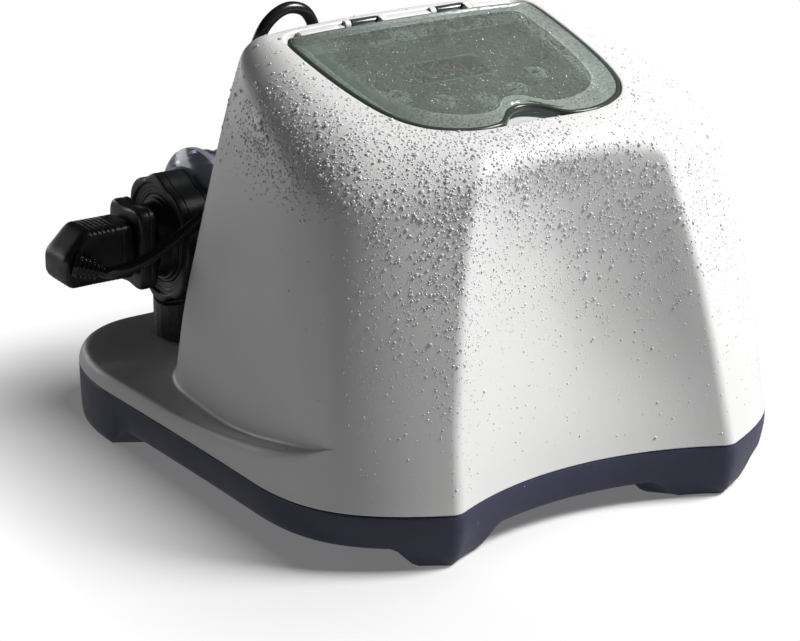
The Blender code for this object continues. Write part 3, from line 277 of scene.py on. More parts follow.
def half_plan(crease, sag, reach, side, side_pull, back, back_pull, corner, corner_pull, rear_y):
    """Right half outline from the front centre over the crease, side, back and rear corner."""
    crease_x, front_y = crease
    xs = crease_x * STATIONS[0]
    ys = np.full_like(xs, front_y)
    if sag > 0.01:
        radius = (crease_x * crease_x + sag * sag) / (2 * sag)
        ys = front_y + sag - (radius - np.sqrt(radius * radius - xs * xs))
    lean = radians(25)
    side, back = np.array(side, float), np.array(back, float)
    span = np.linalg.norm(back - side)
    bend = side[0] - back[0]
    before_back = np.array((back[0] + bend * 0.45, back[1] - span * 0.33))
    along = (back - before_back) / np.linalg.norm(back - before_back)
    x, y = corner
    line = np.vstack([
        np.c_[xs, ys],
        bezier(STATIONS[1], crease, (crease_x + reach * cos(lean), front_y + reach * sin(lean)),
               (side[0], side[1] - side_pull), side),
        bezier(STATIONS[2], side, (side[0] - bend * 0.12, side[1] + span * 0.33),
               before_back, back),
        bezier(STATIONS[3], back, back + along * back_pull, (x + corner_pull, y), corner),
        bezier(np.r_[STATIONS[4], 1.0], corner, (x * 0.66, y + (rear_y - y) * 0.6),
               (x * 0.33, rear_y), (0, rear_y)),
    ])
    # the crease is a soft edge: the columns either side of it follow a curve
    first, tip, last = (line[CREASE + k].copy() for k in (-SOFT, 0, SOFT))
    for j in range(1, 2 * SOFT):
        line[CREASE - SOFT + j] = quadratic(j / (2 * SOFT), first, tip, last)
    return line


def tower_plan(z):
    rise = (z - 50) / 160.0
    corner = (curve_at(CORNER_X, z), curve_at(CORNER_Y, z))
    return half_plan(
        crease=(curve_at(CREASE_X, z), curve_at(CREASE_Y, z)), sag=max(0.0, curve_at(HOLLOW, z)),
        reach=66 - 4 * rise, side=(curve_at(SIDE_X, z), 100 + 14 * rise),
        side_pull=60 - 8 * rise, back=(curve_at(BACK_X, z), 228 - 14 * rise), back_pull=34,
        corner=corner, corner_pull=32, rear_y=corner[1] + 1.5)


def top_z(x, y):
    x, y = np.abs(np.asarray(x, float)), np.asarray(y, float)
    crown = 2.2 * (x / 92.0) ** 2.2
    return TOP_Z - LID_SLOPE * (TOP_Y - y) - crown - 0.006 * np.maximum(0, y - 222) ** 2


def opening_plan():
    """The lid opening's half outline, one point for each column of the housing."""
    line = smooth_line(OPENING, 4)
    run = run_lengths(line)
    keys = [float(run[np.argmin(np.linalg.norm(line - key, axis=1))] / run[-1])
            for key in OPENING_KEYS]
    keys = [0.0] + keys + [1.0]
    stations = np.concatenate([keys[i] + (keys[i + 1] - keys[i]) * STATIONS[i]
                               for i in range(5)] + [[1.0]])
    out = resample(smooth_line(OPENING, 12), stations)
    even_out(out, 3)
    return out


RIM = half_plan(crease=(101.5, 0), sag=26, reach=66, side=(181, 115), side_pull=60,
                back=(186.5, 290), back_pull=58, corner=(118, 394), corner_pull=45, rear_y=396)
MOUTH = opening_plan()
COLUMNS = len(RIM)
LEVELS = np.linspace(30, 300, 73)
PLANS = np.array([tower_plan(z) for z in LEVELS])


def tower_wall(z):
    z = np.asarray(z) * np.ones(COLUMNS)
    return np.array([[np.interp(z[i], LEVELS, PLANS[:, i, k]) for k in (0, 1)]
                     for i in range(COLUMNS)])


# towards the front the wall bends out to stand on the seam
FLUSH = (RIM - tower_wall(RIM_Z)) * (1 - ease((RIM[:, 1] - 30) / 45.0))[:, None]


def wall_at(z):
    z = np.asarray(z) * np.ones(COLUMNS)
    return tower_wall(z) + FLUSH * ease((225 - z) / (225 - RIM_Z))[:, None]


# ---------------------------------------------------------------- rows of the housing
def outer_rows():
    """Half rows of the outside: seam, rim, deck, tower wall, shoulder and top."""
    foot = wall_at(RIM_Z)
    foot[0, 0] = foot[-1, 0] = 0
    out = RIM - foot
    # where the wall all but meets the seam, it meets it
    out *= ease((np.linalg.norm(out, axis=1) - 0.4) / 1.6)[:, None]
    gap = np.linalg.norm(out, axis=1)
    away = np.where(gap[:, None] > 1e-6, out / np.maximum(gap, 1e-9)[:, None], 0)
    deck = 80 - 33 * (1 - (1 - np.clip((RIM[:, 1] - 20) / 210, 0, 1)) ** 1.6)
    share = np.clip(gap / 15.5, 0, 1)
    edge, fillet, rise = 9.0 * share, 4.5 * share, 1.2 * share
    rows = [raised(inward(RIM, inset), z)
            for inset, z in ((1.6, RIM_Z), (0.5, RIM_Z + 0.15), (0.0, RIM_Z + 0.8))]

    def put(offset, z):
        rows.append(raised(wall_at(z) + away * offset[:, None], z))

    for part in steps(7):  # up the rim
        put(gap, RIM_Z + 0.8 + (deck - edge - RIM_Z - 0.8) * part)
    for part in steps(6):  # round onto the deck
        angle = pi / 2 * part
        put(gap - edge * (1 - cos(angle)), deck - edge + edge * sin(angle))
    for part in steps(7):  # across the deck
        put((gap - edge) * (1 - part) + fillet * part, deck + rise * part)
    for part in steps(4):  # fillet into the wall
        angle = pi / 2 * part
        put(fillet * (1 - sin(angle)), deck + rise + fillet * (1 - cos(angle)))
    start = deck + rise + fillet
    meet = np.full(COLUMNS, 240.0)  # height where wall and top would meet
    for _ in range(14):
        meet = top_z(*wall_at(meet).T)
    peak = raised(wall_at(meet), meet)
    size = np.interp(PLACE, *np.array(SHOULDER, float).T)
    even_out(size, 4)
    low = raised(wall_at(meet - size), meet - size)
    for part in steps(26):
        put(np.zeros(COLUMNS), start + (meet - size - start) * part)
    towards = np.array([0, 150.0]) - peak[:, :2]
    towards /= np.linalg.norm(towards, axis=1)[:, None]
    rear = ease((PLACE - 17.2) / 1.8)[:, None]
    towards = towards * (1 - rear) + np.array([0, -1.0]) * rear
    towards /= np.linalg.norm(towards, axis=1)[:, None]
    inner = peak[:, :2] + towards * (size * 1.05)[:, None]
    high = raised(inner, top_z(*inner.T))
    pulls = low + (peak - low) * 0.56, high + (peak - high) * 0.56
    rows += [cubic(part, low, *pulls, high) for part in steps(18)]
    lip = inward(MOUTH, -1.3)
    for part in steps(4):
        plan = inner * (1 - part) + lip * part
        rows.append(raised(plan, top_z(*plan.T)))
    return rows


def mouth_rows():
    """Half rows into the opening: lip, ledge under the lid, front scoop and the well's wall."""
    rows = []
    y = MOUTH[:, 1]
    scoop = 0.5 + 0.5 * np.cos(np.clip(MOUTH[:, 0] / 29.0, 0, 1) * pi)
    scoop[y > 150] = 0
    wide = ease((y - 78) / 40) * ease((222.5 - y) / 8)
    for part in (0.3, 0.62, 0.9):
        angle = pi / 2 * part
        plan = inward(MOUTH, -1.3 + 1.45 * sin(angle))
        rows.append(raised(plan, top_z(*plan.T) - 1.3 * (1 - cos(angle))))
    for inset, scooped, drop, scoop_drop in LEDGE:
        more = wide * (0.0 if inset < 1 else 9.0 * min(1.0, inset / 7.0))
        plan = inward(MOUTH, inset + (scooped - inset) * scoop + more)
        slope = (plan[:, 1] - y) * LID_SLOPE * (1 - 0.5 * wide)
        rows.append(raised(plan, top_z(*MOUTH.T) - drop - (scoop_drop - drop) * scoop + slope))
    return rows


# ---------------------------------------------------------------- mesh helpers
# Each frame: two directions across, then the direction along
AXES = {
    "X": ((0, 1, 0), (0, 0, 1), (1, 0, 0)),
    "Y": ((0, 0, 1), (1, 0, 0), (0, 1, 0)),
    "Y wide": ((1, 0, 0), (0, 0, -1), (0, 1, 0)),
    "-Y": ((1, 0, 0), (0, 0, 1), (0, -1, 0)),
    "panel": ((1, 0, 0), (0, cos(LID_TILT), sin(LID_TILT)), (0, -sin(LID_TILT), cos(LID_TILT))),
}


def ring_faces(rows, count):
    faces = []
    for i in range(rows - 1):
        for j in range(count):
            here, there = i * count + j, i * count + (j + 1) % count
            faces.append([here, there, there + count, here + count])
    return faces


def tube(rings):
    return np.reshape(rings, (-1, 3)), ring_faces(len(rings), len(rings[0]))


def flat_ended(rings):
    """A tube with one flat face across each end."""
    verts, faces = tube(rings)
    count = len(rings[0])
    last = (len(rings) - 1) * count
    return verts, faces + [list(range(count))[::-1], [last + j for j in range(count)]]


def fan_ended(rings):
    """A tube with a fan of triangles across each end."""
    verts, faces = tube(rings)
    count, total = len(rings[0]), len(verts)
    last = total - count
    faces += [[(j + 1) % count, j, total] for j in range(count)]
    faces += [[last + j, last + (j + 1) % count, total + 1] for j in range(count)]
    return np.vstack([verts, rings[0].mean(0), rings[-1].mean(0)]), faces


def smooth_shade(mesh, angle):
    mesh.shade_smooth()
    mesh.set_sharp_from_angle(angle=radians(angle))


def mesh_object(name, meshes, materials, smooth=35, recalc=True, face_materials=None):
    """One object from (vertices, faces) pairs."""
    verts, faces, start = [], [], 0
    for points, polygons in meshes:
        verts.append(points)
        faces += [[i + start for i in polygon] for polygon in polygons]
        start += len(points)
    data = bpy.data.meshes.new(name)
    data.from_pydata(world(np.vstack(verts)).tolist(), [], faces)
    for material in materials:
        data.materials.append(MATERIALS[material])
    if face_materials:
        data.polygons.foreach_set("material_index", face_materials)
    if recalc:
        work = bmesh.new()
        work.from_mesh(data)
        bmesh.ops.recalc_face_normals(work, faces=work.faces[:])
        work.to_mesh(data)
        work.free()
    data.update()
    smooth_shade(data, smooth)
    obj = bpy.data.objects.new(name, data)
    bpy.context.scene.collection.objects.link(obj)
    return obj


def declare(obj, body, replaces):
    """Tells the frame what carries the object, which CAD nodes it replaces."""
    if body:
        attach(obj, body)
    if replaces:
        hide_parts(*replaces)


def piece(name, meshes, material, body, replaces=(), slot=None, **options):
    """A finished piece. Its slot argument is not used."""
    materials = [material] if isinstance(material, str) else material
    obj = mesh_object(name, meshes, materials, **options)
    declare(obj, body, replaces)
    return obj


def soften(points, radius, count=3, closed=False):
    """A profile with each corner rounded off."""
    points = [np.array(point, float) for point in points]
    out = []
    for i, corner in enumerate(points):
        if not closed and i in (0, len(points) - 1):
            out.append(corner)
            continue
        before, after = points[i - 1], points[(i + 1) % len(points)]
        back, ahead = np.linalg.norm(before - corner), np.linalg.norm(after - corner)
        cut = min(radius, back * 0.45, ahead * 0.45)
        turn = np.dot((corner - before) / max(back, 1e-9), (after - corner) / max(ahead, 1e-9))
        if cut < 1e-6 or turn > 0.996:
            out.append(corner)
            continue
        start = corner + (before - corner) / back * cut
        end = corner + (after - corner) / ahead * cut
        out += [quadratic(k / count, start, corner, end) for k in range(count + 1)]
    return out


def sleeve(inner, outer, half, rounding):
    """Closed profile of a short tube."""
    return soften([(inner, -half), (outer, -half), (outer, half), (inner, half)], rounding,
                  closed=True)


def lathe(rows, centre, axis, sides=64, closed=False):
    """Turned form: (radius, height) rows, where a radius may be a function of the angle."""
    across, up, along = np.array(AXES[axis], float)
    centre = np.array(centre, float)
    angle = np.arange(sides) * 2 * pi / sides
    spokes = np.cos(angle)[:, None] * across + np.sin(angle)[:, None] * up
    rings, indices, total = [], [], 0
    for radius, height in rows:
        if not callable(radius) and radius < 1e-6:
            rings.append((centre + along * height)[None])
            indices.append([total] * sides)
        else:
            reach = radius(angle) if callable(radius) else np.full(sides, float(radius))
            rings.append(centre + reach[:, None] * spokes + along * height)
            indices.append(list(range(total, total + sides)))
        total += len(rings[-1])
    pairs = list(zip(indices, indices[1:]))
    if closed:
        pairs.append((indices[-1], indices[0]))
    faces = []
    for low, high in pairs:
        for j in range(sides):
            k = (j + 1) % sides
            face = list(dict.fromkeys([low[j], low[k], high[k], high[j]]))
            if len(face) > 2:
                faces.append(face)
    return np.vstack(rings), faces


def rounded(width, height, radius, count=6):
    """Outline of a rectangle with round corners."""
    x, y = width / 2 - radius, height / 2 - radius
    out = []
    for mid_x, mid_y, start in ((x, y, 0), (-x, y, 90), (-x, -y, 180), (x, -y, 270)):
        angles = [radians(start + 90 * k / count) for k in range(count + 1)]
        out += [(mid_x + radius * cos(angle), mid_y + radius * sin(angle)) for angle in angles]
    return np.array(out)


def circle(radius, count):
    angle = np.arange(count) * 2 * pi / count
    return np.c_[radius * np.cos(angle), radius * np.sin(angle)]


def arc_band(inner, outer, start, end, count=18):
    angle = np.radians(np.linspace(start, end, count))
    arc = np.c_[np.cos(angle), np.sin(angle)]
    return np.vstack([outer * arc, inner * arc[::-1]])


def anticlockwise(loop):
    ahead = np.roll(loop, -1, 0)
    area = (loop[:, 0] * ahead[:, 1] - ahead[:, 0] * loop[:, 1]).sum()
    return loop if area > 0 else loop[::-1]


def plate(loop, low, high, centre, axis, rounding=0.5, count=3):
    """An anticlockwise outline raised from low to high, its two edges rounded."""
    across, up, along = np.array(AXES[axis], float)
    radius = min(rounding, abs(high - low) / 2.01)
    tangent = np.roll(loop, -1, 0) - np.roll(loop, 1, 0)
    tangent /= np.maximum(np.linalg.norm(tangent, axis=1), 1e-9)[:, None]
    inside = np.c_[-tangent[:, 1], tangent[:, 0]]
    levels = []
    for k in range(count + 1):
        angle = pi / 2 * k / count
        levels.append((radius * (1 - sin(angle)), low + radius * (1 - cos(angle))))
    for k in range(count + 1):
        angle = pi / 2 * k / count
        levels.append((radius * (1 - cos(angle)), high - radius * (1 - sin(angle))))
    rings = []
    for inset, height in levels:
        line = loop + inside * inset
        rings.append(np.array(centre, float) + line[:, :1] * across + line[:, 1:] * up
                     + along * height)
    return flat_ended(rings)


def rounded_box(size, centre, radius, segments=3):
    work = bmesh.new()
    bmesh.ops.create_cube(work, size=1, matrix=Matrix.Diagonal((*size, 1)))
    bmesh.ops.bevel(work, geom=work.edges[:], offset=radius, segments=segments, profile=0.5,
                    affect="EDGES", clamp_overlap=True)
    work.verts.index_update()
    verts = np.array([tuple(vert.co) for vert in work.verts])
    faces = [[vert.index for vert in face.verts] for face in work.faces]
    work.free()
    return verts + np.array(centre, float), faces


def sweep(path, radius, sides):
    """A round section carried along the path without twisting."""
    tangent = np.gradient(path, axis=0)
    tangent /= np.linalg.norm(tangent, axis=1)[:, None]
    across = np.cross(tangent[0], (0, 0, 1.0))
    if np.linalg.norm(across) < 0.2:
        across = np.cross(tangent[0], (1.0, 0, 0))
    across /= np.linalg.norm(across)
    angle = np.arange(sides) * 2 * pi / sides
    rings = []
    for point, ahead in zip(path, tangent):
        across = across - ahead * np.dot(across, ahead)
        across /= np.linalg.norm(across)
        other = np.cross(ahead, across)
        rings.append(point + radius * (np.cos(angle)[:, None] * across
                                       + np.sin(angle)[:, None] * other))
    return flat_ended(rings)


def applied(obj):
    """Bakes an object's modifiers into its mesh."""
    bpy.context.view_layer.update()
    graph = bpy.context.evaluated_depsgraph_get()
    data = bpy.data.meshes.new_from_object(obj.evaluated_get(graph))
    obj.modifiers.clear()
    obj.data = data


def thicken(obj):
    """Gives a skin the wall's thickness, on its inside."""
    wall = obj.modifiers.new("wall", "SOLIDIFY")
    wall.thickness = WALL / 1000
    wall.offset = -1
    wall.use_even_offset = False
    wall.use_rim = True
    applied(obj)


# ---------------------------------------------------------------- material helpers
MATERIALS = {}
NOISE = (0.3, 0.7)  # the range that most of a noise's values fall in


class Tree:
    """A material's nodes, with short calls for those used most."""

    def __init__(self, name):
        material = bpy.data.materials.new(name)
        MATERIALS[name] = material
        material.use_nodes = True
        self.tree = material.node_tree
        self.tree.nodes.clear()
        self.coord = self.add("TexCoord").outputs["Object"]

    def add(self, kind, inputs=None, **props):
        node = self.tree.nodes.new("ShaderNode" + kind)
        for key, value in props.items():
            setattr(node, key, value)
        for key, value in (inputs or {}).items():
            socket = node.inputs[key]
            if isinstance(value, bpy.types.NodeSocket):
                self.tree.links.new(value, socket)
            else:
                socket.default_value = value
        return node

    def noise(self, scale, detail=3.0, rough=0.5, vector=None):
        inputs = {"Vector": vector or self.coord, "Scale": scale, "Detail": detail,
                  "Roughness": rough}
        return self.add("TexNoise", inputs).outputs["Fac"]

    def cells(self, scale, **inputs):
        inputs = {"Vector": self.coord, "Scale": scale, **inputs}
        return self.add("TexVoronoi", inputs).outputs["Distance"]

    def stretched(self, scale):
        return self.add("Mapping", {"Vector": self.coord, "Scale": scale}).outputs[0]

    def place(self, axis):
        return self.add("SeparateXYZ", {0: self.coord}).outputs[axis]

    def span(self, value, source, to=(0.0, 1.0)):
        """Maps the source range to another, clamped."""
        inputs = {"Value": value, "From Min": source[0], "From Max": source[1],
                  "To Min": to[0], "To Max": to[1]}
        return self.add("MapRange", inputs, clamp=True).outputs["Result"]

    def math(self, operation, first, second=0.0):
        return self.add("Math", {0: first, 1: second}, operation=operation).outputs[0]

    def times(self, first, second):
        return self.math("MULTIPLY", first, second)

    def mix(self, share, first, second, blend="MIX"):
        colours = [value if isinstance(value, bpy.types.NodeSocket) else (*value[:3], 1)
                   for value in (first, second)]
        inputs = {0: share, 6: colours[0], 7: colours[1]}
        return self.add("Mix", inputs, data_type="RGBA", blend_type=blend).outputs[2]

    def bump(self, height, strength, distance, normal=None):
        inputs = {"Height": height, "Strength": strength, "Distance": distance}
        if normal:
            inputs["Normal"] = normal
        return self.add("Bump", inputs).outputs["Normal"]

    def blend(self, share, first, second):
        return self.add("MixShader", {0: share, 1: first.outputs[0], 2: second.outputs[0]})

    def out(self, shader):
        self.tree.links.new(shader.outputs[0], self.add("OutputMaterial").inputs["Surface"])


def shade(colour, factor):
    return tuple(min(1.0, value * factor) for value in colour)


def surface(name, rough, colour=None, brightness=1.0, metal=0.0, vary=0.05, grain=0.1,
            grain_mm=0.6, gloss_vary=0.07, wear=0.2, dust=0.0, coat=0.0, extra=None):
    """Moulded or metal surface: slow colour drift, fine grain in the bump, uneven gloss, paler
    worn edges and a little dust in the hollows. The colour is the record's unless given."""
    tree = Tree(name)
    colour = colour or shade(COLOURS[name], brightness)
    drift = tree.span(tree.noise(scale=11.0), NOISE)
    fine = tree.span(tree.noise(scale=260.0, detail=4.0, rough=0.6), (0.35, 0.7))
    base = tree.mix(drift, shade(colour, 1 - vary), shade(colour, 1 + vary))
    base = tree.mix(tree.times(fine, 0.25), base, shade(colour, 1 - 2.2 * vary))
    if wear or dust:
        edge = tree.add("NewGeometry").outputs["Pointiness"]
    if wear:
        scuff = tree.times(tree.span(edge, (0.515, 0.56)),
                           tree.span(tree.noise(scale=420.0), (0.42, 0.66)))
        dark = tuple(value * 1.6 + 0.05 for value in colour)
        worn = shade(colour, 1.35) if max(colour) > 0.3 else dark
        base = tree.mix(tree.times(scuff, wear), base, worn)
    if dust:
        hollow = tree.times(tree.span(edge, (0.49, 0.44)),
                            tree.span(tree.noise(scale=90.0, detail=4.0), (0.35, 0.7)))
        base = tree.mix(tree.times(hollow, dust), base, (0.42, 0.40, 0.37))
    gloss = tree.span(tree.noise(scale=34.0, detail=5.0, rough=0.6), NOISE,
                      to=(max(0.02, rough - gloss_vary), rough + gloss_vary))
    normal = tree.bump(tree.noise(scale=1000.0 / grain_mm, detail=2.0),
                       strength=grain, distance=0.00012)
    if extra:
        base, gloss, normal = extra(tree, base, gloss, normal)
    tree.out(tree.add("BsdfPrincipled", {
        "Base Color": base, "Roughness": gloss, "Metallic": metal, "Normal": normal,
        "IOR": 1.5, "Coat Weight": coat, "Coat Roughness": 0.08}))


def lit_through(name, tint, haze, rough, hide, painted_shade_across=None, wet=False):
    """Thin clear plastic: part of what is behind shows through its tint, the rest is haze and
    gloss. hide is the least share of haze."""
    vary, ior = 0.05, 1.6
    tree = Tree(name)
    tint_colour = tree.mix(tree.span(tree.noise(scale=16.0), NOISE),
                           shade(tint, 1 - vary), shade(tint, 1 + vary))
    haze_colour = tree.mix(tree.span(tree.noise(scale=30.0, detail=4.0), NOISE),
                           shade(haze, 1 - 2 * vary), shade(haze, 1 + 2 * vary))
    # painted shade: the haze is darkened towards low x, the lid's left side, away from the key light
    if painted_shade_across:  # x range in metres, and the haze's share left at its low end
        start, end, low = painted_shade_across
        haze_colour = tree.mix(tree.span(tree.place("X"), (start, end)), shade(haze, low),
                               haze_colour)
    gloss = tree.span(tree.noise(scale=60.0, detail=4.0), NOISE, to=(rough * 0.8, rough * 1.25))
    normal = tree.bump(tree.noise(scale=900.0), strength=0.08, distance=0.00015)
    if wet:  # beads too small to model, in patches
        cells = tree.cells(460.0, Randomness=1.0)
        patch = tree.span(tree.noise(scale=70.0), (0.40, 0.58), to=(0.25, 1.0))
        spots = tree.times(tree.span(cells, (0.40, 0.16)), patch)
        normal = tree.bump(spots, strength=0.6, distance=0.0005, normal=normal)
        # painted shade: a ring round each bead darkens the haze and tint, standing in for the dark
        # edge refraction gives a real drop
        edge = tree.times(tree.span(cells, (0.22, 0.34)), tree.span(cells, (0.46, 0.34)))
        haze_colour = tree.mix(tree.times(edge, 0.55), haze_colour, (0.05, 0.06, 0.055))
        tint_colour = tree.mix(tree.times(edge, 0.45), tint_colour, (0.15, 0.18, 0.16))
    clear = tree.add("BsdfTransparent", {"Color": tint_colour})
    body = tree.add("BsdfPrincipled", {"Base Color": haze_colour, "Roughness": gloss,
                                       "Normal": normal, "IOR": ior})
    mirror = tree.add("Fresnel", {"IOR": ior, "Normal": normal}).outputs[0]
    outside = tree.math("SUBTRACT", 1.0, tree.add("NewGeometry").outputs["Backfacing"])
    share = tree.math("MAXIMUM", tree.times(mirror, outside), hide)
    tree.out(tree.blend(share, clear, body))


def water(name, tints, gloss, ior, transmission, pass_shadows):
    """Water drops. With pass_shadows, lamps' shadow rays pass, so what is under them stays lit."""
    tree = Tree(name)
    ball = tree.add("BsdfPrincipled", {
        "Base Color": tree.mix(tree.noise(scale=30.0), *tints),
        "Roughness": tree.span(tree.noise(scale=200.0), NOISE, to=gloss),
        "IOR": ior, "Transmission Weight": transmission,
        "Normal": tree.bump(tree.noise(scale=500.0, detail=2.0), strength=0.05, distance=0.0001)})
    if pass_shadows:
        clear = tree.add("BsdfTransparent", {"Color": (0.86, 0.87, 0.88, 1)})
        ball = tree.blend(tree.add("LightPath").outputs["Is Shadow Ray"], ball, clear)
    tree.out(ball)


# Extras: each takes and returns a surface's base colour, gloss and normal
def brushed(tree, base, gloss, normal):
    streak = tree.noise(scale=1.0, detail=4.0, rough=0.6,
                        vector=tree.stretched((14.0, 900.0, 900.0)))
    share = tree.times(tree.span(streak, (0.35, 0.65)), 0.3)
    return (tree.mix(share, base, (0.85, 0.85, 0.85), "MULTIPLY"),
            tree.math("ADD", gloss, tree.span(streak, NOISE, to=(-0.06, 0.08))),
            tree.bump(streak, strength=0.15, distance=0.0001, normal=normal))


def laminated(tree, base, gloss, normal):
    sheet = tree.noise(scale=1.0, detail=1.0, vector=tree.stretched((0.0, 1400.0, 0.0)))
    share = tree.span(sheet, (0.4, 0.6), to=(0.0, 0.5))
    return (tree.mix(share, base, (0.05, 0.045, 0.04)), gloss,
            tree.bump(sheet, strength=0.5, distance=0.0002, normal=normal))


def wound(tree, base, gloss, normal):
    inputs = {"Vector": tree.coord, "Scale": 320.0, "Distortion": 0.6, "Detail": 1.0,
              "Detail Scale": 2.0}
    wave = tree.add("TexWave", inputs, bands_direction="Z").outputs["Fac"]
    share = tree.span(wave, (0.0, 0.4), to=(0.55, 0.0))
    return (tree.mix(share, base, (0.08, 0.02, 0.01)), gloss,
            tree.bump(wave, strength=0.7, distance=0.0003, normal=normal))


def tracks(tree, base, gloss, normal):
    bricks = tree.add("TexBrick", {
        "Vector": tree.coord, "Scale": 55.0, "Mortar Size": 0.03, "Color1": (0, 0, 0, 1),
        "Color2": (0.2, 0.2, 0.2, 1), "Mortar": (1, 1, 1, 1)}).outputs["Color"]
    track = tree.add("RGBToBW", {0: bricks}).outputs[0]
    pad = tree.span(tree.cells(210.0), (0.16, 0.12))
    base = tree.mix(tree.times(track, 0.5), base, (0.05, 0.30, 0.13))
    return (tree.mix(tree.times(pad, 0.7), base, (0.62, 0.60, 0.55)), gloss,
            tree.bump(tree.math("ADD", track, pad), strength=0.3, distance=0.0001,
                      normal=normal))


def mist(tree, base, gloss, normal):
    """A film of droplets too small to model, denser higher up."""
    high = tree.span(tree.place("Z"), (0.05, 0.24), to=(0.12, 1.0))
    patch = tree.times(tree.span(tree.noise(scale=24.0, detail=4.0), (0.42, 0.62)), high)
    spots = tree.times(tree.span(tree.cells(620.0, Randomness=1.0), (0.34, 0.1)), patch)
    return (base, tree.math("SUBTRACT", gloss, tree.times(spots, 0.16)),
            tree.bump(spots, strength=0.55, distance=0.0004, normal=normal))


def stippled(tree, base, gloss, normal):
    return base, gloss, tree.bump(tree.cells(1500.0), strength=0.25, distance=0.00015,
                                  normal=normal)


# ---------------------------------------------------------------- materials
surface("white_plastic", rough=0.40, vary=0.012, grain_mm=0.7, wear=0.10, dust=0.10, extra=mist)
surface("white_plastic_inner", rough=0.48, colour=shade(COLOURS["white_plastic"], 1.0),
        vary=0.02, grain=0.12, wear=0.0)  # no piece wears this one
surface("navy_plastic", rough=0.40, brightness=1.35, vary=0.10, grain=0.14, grain_mm=0.8,
        wear=0.30, dust=0.22, extra=stippled)
lit_through("smoky_lid", tint=(0.80, 0.86, 0.82), haze=(0.40, 0.43, 0.40), rough=0.10, hide=0.24,
            wet=True)
# dark lid rim: the skirt's own darker tone, with the shadow in the gap round the lid's edge painted
# into it
surface("smoky_lid_rim", rough=0.18, colour=(0.050, 0.062, 0.056), vary=0.10, wear=0.15,
        grain=0.05)
surface("panel_plastic", rough=0.42, colour=(0.105, 0.125, 0.122), vary=0.08, grain=0.16,
        grain_mm=0.5, wear=0.1, dust=0.15)
surface("panel_print", rough=0.45, colour=(0.62, 0.66, 0.66), wear=0.0)
surface("window_plastic", rough=0.07, colour=(0.010, 0.011, 0.015), vary=0.2, grain=0.03,
        wear=0.0, coat=0.6)
surface("display_digits", rough=0.30, colour=(0.55, 0.10, 0.07), vary=0.08, wear=0.0)
surface("button_plastic", rough=0.34, brightness=0.8, grain=0.12, grain_mm=0.4, wear=0.25,
        dust=0.2)
surface("black_plastic", rough=0.36, vary=0.15, grain=0.22, grain_mm=0.5, gloss_vary=0.09,
        wear=0.35, dust=0.14, extra=stippled)
surface("black_rubber", rough=0.27, brightness=0.9, vary=0.12, grain_mm=0.9, gloss_vary=0.08,
        dust=0.12)
surface("seal_rubber", rough=0.62, vary=0.15, grain=0.2)
lit_through("cell_plastic", tint=(0.50, 0.54, 0.62), haze=(0.46, 0.49, 0.57), rough=0.12,
            hide=0.55)
surface("titanium", rough=0.42, metal=0.9, vary=0.10, extra=brushed)
surface("steel", rough=0.26, metal=1.0, vary=0.06, extra=brushed)
surface("aluminium", rough=0.34, metal=1.0, vary=0.06, extra=brushed)
surface("brass", rough=0.28, metal=1.0, vary=0.09, extra=brushed)
surface("copper", rough=0.34, metal=0.7, vary=0.12, extra=wound)
surface("iron", rough=0.5, metal=0.7, vary=0.15, extra=laminated)
surface("board_green", rough=0.36, vary=0.12, extra=tracks)
surface("component_blue", rough=0.33, vary=0.10, dust=0.15)
surface("component_black", rough=0.4, vary=0.15, dust=0.2)
surface("terminal_green", rough=0.42, vary=0.10, dust=0.2)
surface("display_grey", rough=0.3, vary=0.06)
# painted light: the border band's paler, thicker haze stands in for the lit white ledge seen through
# the lid; painted shade darkens it towards the left
lit_through("smoky_lid_border_painted_light", tint=(0.78, 0.86, 0.81), haze=(0.58, 0.65, 0.60), rough=0.10,
            hide=0.46, painted_shade_across=(-0.085, -0.015, 0.45), wet=True)
water("water", tints=((0.97, 0.98, 0.99), (1, 1, 1)), gloss=(0.0, 0.03), ior=1.33,
      transmission=1.0, pass_shadows=True)
# half clear, half filled with light, so the beads show on lit and on shaded walls
water("water_beads", tints=((0.90, 0.91, 0.92), (0.97, 0.97, 0.98)), gloss=(0.02, 0.06),
      ior=1.45, transmission=0.35, pass_shadows=False)

# ---------------------------------------------------------------- housing
outside = outer_rows()
skin = np.array(outside + mouth_rows())
skin[:, 0, 0] = skin[:, -1, 0] = 0
housing = full_rows(skin)
# the front is dished to a soft valley between the creases
x, y, z = housing[..., 0], housing[..., 1], housing[..., 2]
across = np.sqrt((x / (88 - 0.13 * (z - 60))) ** 2 + 0.05)
valley = np.maximum(0, 1 - across / sqrt(1.05)) * ease((z - 42) / 100) * ease((230 - z) / 72)
housing[..., 1] += 9.5 * (valley * (y < 130))


def rear_wall(x, z):
    """y of the outer rear wall at this x and z."""
    rear = tower_plan(z)[-(len(STATIONS[3]) + len(STATIONS[4]) + 1):]
    order = np.argsort(rear[:, 0])
    return float(np.interp(abs(x), rear[order, 0], rear[order, 1]))


CORD_R = {"cell": 3.9, "sensor": 2.8, "mains": 4.2}
GLANDS = {}  # x, z, radius and bore of each cord's way through the rear wall
for cord, radius in (("cell", 6.6), ("sensor", 5.4), ("mains", 7.0)):
    x, _, z = middle(cord + "_gland")
    GLANDS[cord + "_gland"] = (float(x), float(z), radius, CORD_R[cord])

